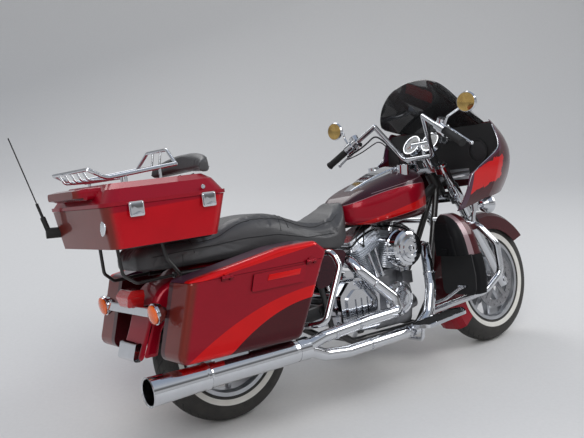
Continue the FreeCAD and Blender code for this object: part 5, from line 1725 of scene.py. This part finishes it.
@dataclass
class Boards:
    """Ribbed rubber pads in the rider's floorboards."""

    outline: Pairs = ((800, 314), (1042, 314), (1078, 350), (1042, 402), (824, 402))
    ribs: int = 7
    long_ribs: int = 5
    pitch: float = 13.4
    slope: float = 0.0872
    middle_x: float = 900.0
    pad_z: float = 274.4
    rib_z: float = 275.6

    def _rib(self, length: float) -> bpy.types.Object:
        """Makes one rounded rib at the origin, with its length in metres.

        Args:
            length: Length in metres.

        Returns:
            The rib, at the origin.
        """
        bench.clear()
        bpy.ops.mesh.primitive_cube_add(size=1.0)
        rib = bpy.context.object
        bpy.ops.object.mode_set(mode="EDIT")
        bpy.ops.mesh.select_all(action="SELECT")
        bpy.ops.transform.resize(value=(length, 0.0072, 0.010), center_override=(0, 0, 0))
        bpy.ops.mesh.bevel(offset=0.0016, segments=2, affect="EDGES")
        bpy.ops.object.mode_set(mode="OBJECT")
        return rib

    def build(self) -> None:
        """Lays one pad with its ribs in each board."""
        for side, label in SIDES:
            pad = bench.plate(self.outline, 3.0, 1.5)
            bench.settle(pad, (0, 0, self.pad_z - self.middle_x * self.slope), (-self.slope, 0, 1),
                         across=(1, 0, self.slope), grow=(1, side, 1))
            parts = [pad]
            for k in range(self.ribs):
                short = k >= self.long_ribs
                rib = self._rib(0.200 if short else 0.236)
                x, y = 925 - short * 10, 322 + self.pitch * k
                z = self.rib_z + (x - self.middle_x) * self.slope
                bench.settle(rib, (x, side * y, z), (-self.slope, 0, 1), across=(1, 0, 0))
                parts.append(rib)
            bench.deliver(bench.join(parts), f"floorboard_ribs_{label}", RUBBER, "chassis")


@dataclass
class Hoses:
    """Black cables and hoses along the bars, the fork and the brakes."""

    routes: tuple = (  # name, radius, points on the left side
        ("control_hose", 4.2, (
            (1088, 352, 1074), (1112, 300, 1092), (1136, 236, 1128), (1150, 190, 1160), (1172, 156, 1126),
            (1214, 118, 1050), (1262, 96, 1004), (1300, 82, 960))),
        ("switch_cable", 3.0, (
            (1092, 356, 1060), (1120, 292, 1076), (1146, 216, 1112), (1162, 172, 1130), (1196, 140, 1070),
            (1246, 112, 1012), (1290, 100, 975))),
        ("brake_hose", 3.6, (
            (1566, 118, 446), (1560, 134, 486), (1520, 140, 560), (1478, 138, 640), (1440, 132, 720),
            (1410, 112, 790))))

    def build(self) -> None:
        """Runs the hoses on both sides."""
        for side, label in SIDES:
            for name, radius, route in self.routes:
                points = [bike.point((x / 1000, side * y / 1000, z / 1000), Stance.STEERED)
                          for x, y, z in route]
                hose = bench.wire(points, radius)
                bench.deliver(hose, f"{name}_{label}", MOULDING, "front_end", Stance.STEERED, 60.0)


@dataclass
class FairingTrim:
    """Bright bead along the fairing's rear edge and the dark panels behind the leg shields."""

    half_widths: Pairs = ((730, 296), (820, 374), (908, 408), (1014, 420), (1090, 402), (1172, 348))
    bead: Pairs = (
        (1174, 760), (1177, 830), (1182, 896), (1206, 922), (1290, 967), (1352, 1002), (1376, 1024),
        (1384, 1080), (1390, 1130))
    panel: Pairs = (
        (206, 540), (402, 540), (416, 440), (410, 366), (388, 346), (214, 346), (200, 366), (198, 440))
    panel_x: float = 1136.0

    def build(self) -> None:
        """Runs the bead and sets the dark panel on both sides."""
        for side, label in SIDES:
            points = [bike.point((x / 1000, side * (between(self.half_widths, z) + 0.6) / 1000, z / 1000))
                      for x, z in self.bead]
            bench.deliver(bench.wire(points, 2.6), f"fairing_bead_{label}", CHROME, "chassis", angle=60.0)
            panel = bench.plate(self.panel, 6.0, 2.4)
            bench.settle(panel, (self.panel_x, 0, 0), (-1, 0, 0), across=(0, side, 0), grow=(1, -side, 1))
            bench.deliver(panel, f"lower_panel_{label}", MOULDING, "chassis")


@dataclass
class Studio:
    """Camera at the photograph's angle, soft lamps, a pale floor and a pale surround."""

    camera_from_hub: Point = (-1.6618, -2.9013, 1.2811)
    azimuth: float = 34.98
    elevation: float = -12.455
    roll: float = -0.61
    lens: float = 50.79
    floor_half: float = 16.0
    backdrop_away: float = 9.0
    backdrop_high: float = 9.0
    backdrop_bend: float = 4.0
    lamps: tuple = (  # place, size, watts
        ((-3.0, -4.2, 5.2), 4.0, 190.0), ((5.0, -2.5, 4.6), 3.0, 150.0), ((0.5, 5.0, 5.0), 4.0, 120.0))
    sky: tuple = (  # height from 0 to 1, colour
        (0.25, (0.80, 0.81, 0.83)), (0.34, (0.20, 0.19, 0.18)), (0.46, (0.30, 0.31, 0.33)),
        (0.6, (0.92, 0.95, 1.0)))

    def _camera(self) -> None:
        """Aims the camera as the photograph was taken."""
        az, el, roll = (math.radians(a) for a in (self.azimuth, self.elevation, self.roll))
        ahead = Vector((math.sin(az) * math.cos(el), math.cos(az) * math.cos(el), math.sin(el)))
        side = Vector((math.cos(az), -math.sin(az), 0.0))
        over = side.cross(ahead)
        right = side * math.cos(roll) + over * math.sin(roll)
        up = over * math.cos(roll) - side * math.sin(roll)
        data = bpy.data.cameras.new("camera")
        data.lens, data.sensor_width, data.clip_end = self.lens, 36.0, 200.0
        camera = bpy.data.objects.new("camera", data)
        bpy.context.scene.collection.objects.link(camera)
        turn = Matrix((right, up, -ahead)).transposed().to_4x4()
        camera.matrix_world = Matrix.Translation(bike.hub + Vector(self.camera_from_hub)) @ turn
        bpy.context.scene.camera = camera

    def _lamps(self) -> None:
        """Hangs the soft lamps, each aimed at the bike's middle."""
        target = Vector((0.0, 0.0, 0.6))
        for number, (place, size, power) in enumerate(self.lamps):
            data = bpy.data.lights.new(f"lamp_{number}", "AREA")
            data.size, data.energy = size, power
            lamp = bpy.data.objects.new(f"lamp_{number}", data)
            lamp.location = place
            lamp.rotation_mode = "QUATERNION"
            lamp.rotation_quaternion = (target - Vector(place)).to_track_quat("-Z", "Y")
            bpy.context.scene.collection.objects.link(lamp)

    def _surround(self) -> None:
        """Sets a sky that is pale low down and cools with height."""
        world = bpy.data.worlds.new("surround")
        bpy.context.scene.world = world
        world.use_nodes = True
        tree = world.node_tree
        back = tree.nodes["Background"]
        coords = tree.nodes.new("ShaderNodeTexCoord")
        parts = tree.nodes.new("ShaderNodeSeparateXYZ")
        ramp = tree.nodes.new("ShaderNodeValToRGB")
        low, high = ramp.color_ramp.elements
        low.position, low.color = 0.0, (0.86, 0.86, 0.87, 1.0)
        high.position, high.color = 0.95, (0.52, 0.62, 0.80, 1.0)
        for where, shade in self.sky:
            ramp.color_ramp.elements.new(where).color = (*shade, 1.0)
        tree.links.new(coords.outputs["Generated"], parts.inputs[0])
        tree.links.new(parts.outputs["Z"], ramp.inputs[0])
        tree.links.new(ramp.outputs[0], back.inputs["Color"])
        back.inputs["Strength"].default_value = 0.62

    def _floor(self) -> None:
        """Lays the pale floor and sweeps it up into a backdrop behind the bike."""
        bench.clear()
        bpy.ops.mesh.primitive_plane_add(size=2 * self.floor_half)
        floor = bpy.context.object
        bpy.ops.object.mode_set(mode="EDIT")
        bpy.ops.mesh.select_all(action="SELECT")
        bpy.ops.transform.translate(value=(0, self.backdrop_away - self.floor_half, 0))
        bpy.ops.mesh.select_all(action="DESELECT")
        bpy.ops.object.mode_set(mode="OBJECT")
        for edge in floor.data.edges:
            ends = [floor.data.vertices[i].co.y for i in edge.vertices]
            edge.select = min(ends) > self.backdrop_away - 0.01
        bpy.ops.object.mode_set(mode="EDIT")
        bpy.ops.mesh.select_mode(type="EDGE")
        bpy.ops.mesh.extrude_region_move(TRANSFORM_OT_translate={"value": (0, 0, self.backdrop_high)})
        bpy.ops.object.mode_set(mode="OBJECT")
        for edge in floor.data.edges:
            ends = [floor.data.vertices[i].co for i in edge.vertices]
            edge.select = all(abs(end.z) < 0.01 and end.y > self.backdrop_away - 0.01 for end in ends)
        bpy.ops.object.mode_set(mode="EDIT")
        bpy.ops.mesh.bevel(offset=self.backdrop_bend, segments=14, affect="EDGES")
        bpy.ops.object.mode_set(mode="OBJECT")
        floor.rotation_euler.z = -math.radians(self.azimuth)
        bench.only(floor)
        bpy.ops.object.transform_apply(location=True, rotation=True, scale=True)
        bpy.ops.object.shade_smooth()
        floor.name = "floor"
        graph = Graph("pale_floor")
        speckle = graph.noise(60.0, 4.0)
        graph.finish(Base_Color=graph.blend(speckle, (0.66, 0.65, 0.635), (0.72, 0.71, 0.695)),
                     Roughness=0.85 + speckle * 0.05)
        floor.data.materials.append(graph.material)

    def build(self) -> None:
        """Sets up the whole studio."""
        bpy.context.scene.view_settings.view_transform = "Standard"
        self._camera()
        self._lamps()
        self._surround()
        self._floor()


def main() -> None:
    """Builds the studio, dresses the nodes and adds the pieces in order."""
    logging.basicConfig(level=logging.INFO, format="%(message)s")
    Studio().build()
    CadFinishes().build()
    for stage in (Upholstery(), Screen(), Lamps(), Dials(), Mirrors(), Luggage(), Fittings(), EngineDress(),
                  Boards(), Hoses(), FairingTrim()):
        stage.build()


if __name__ == "__main__":
    main()
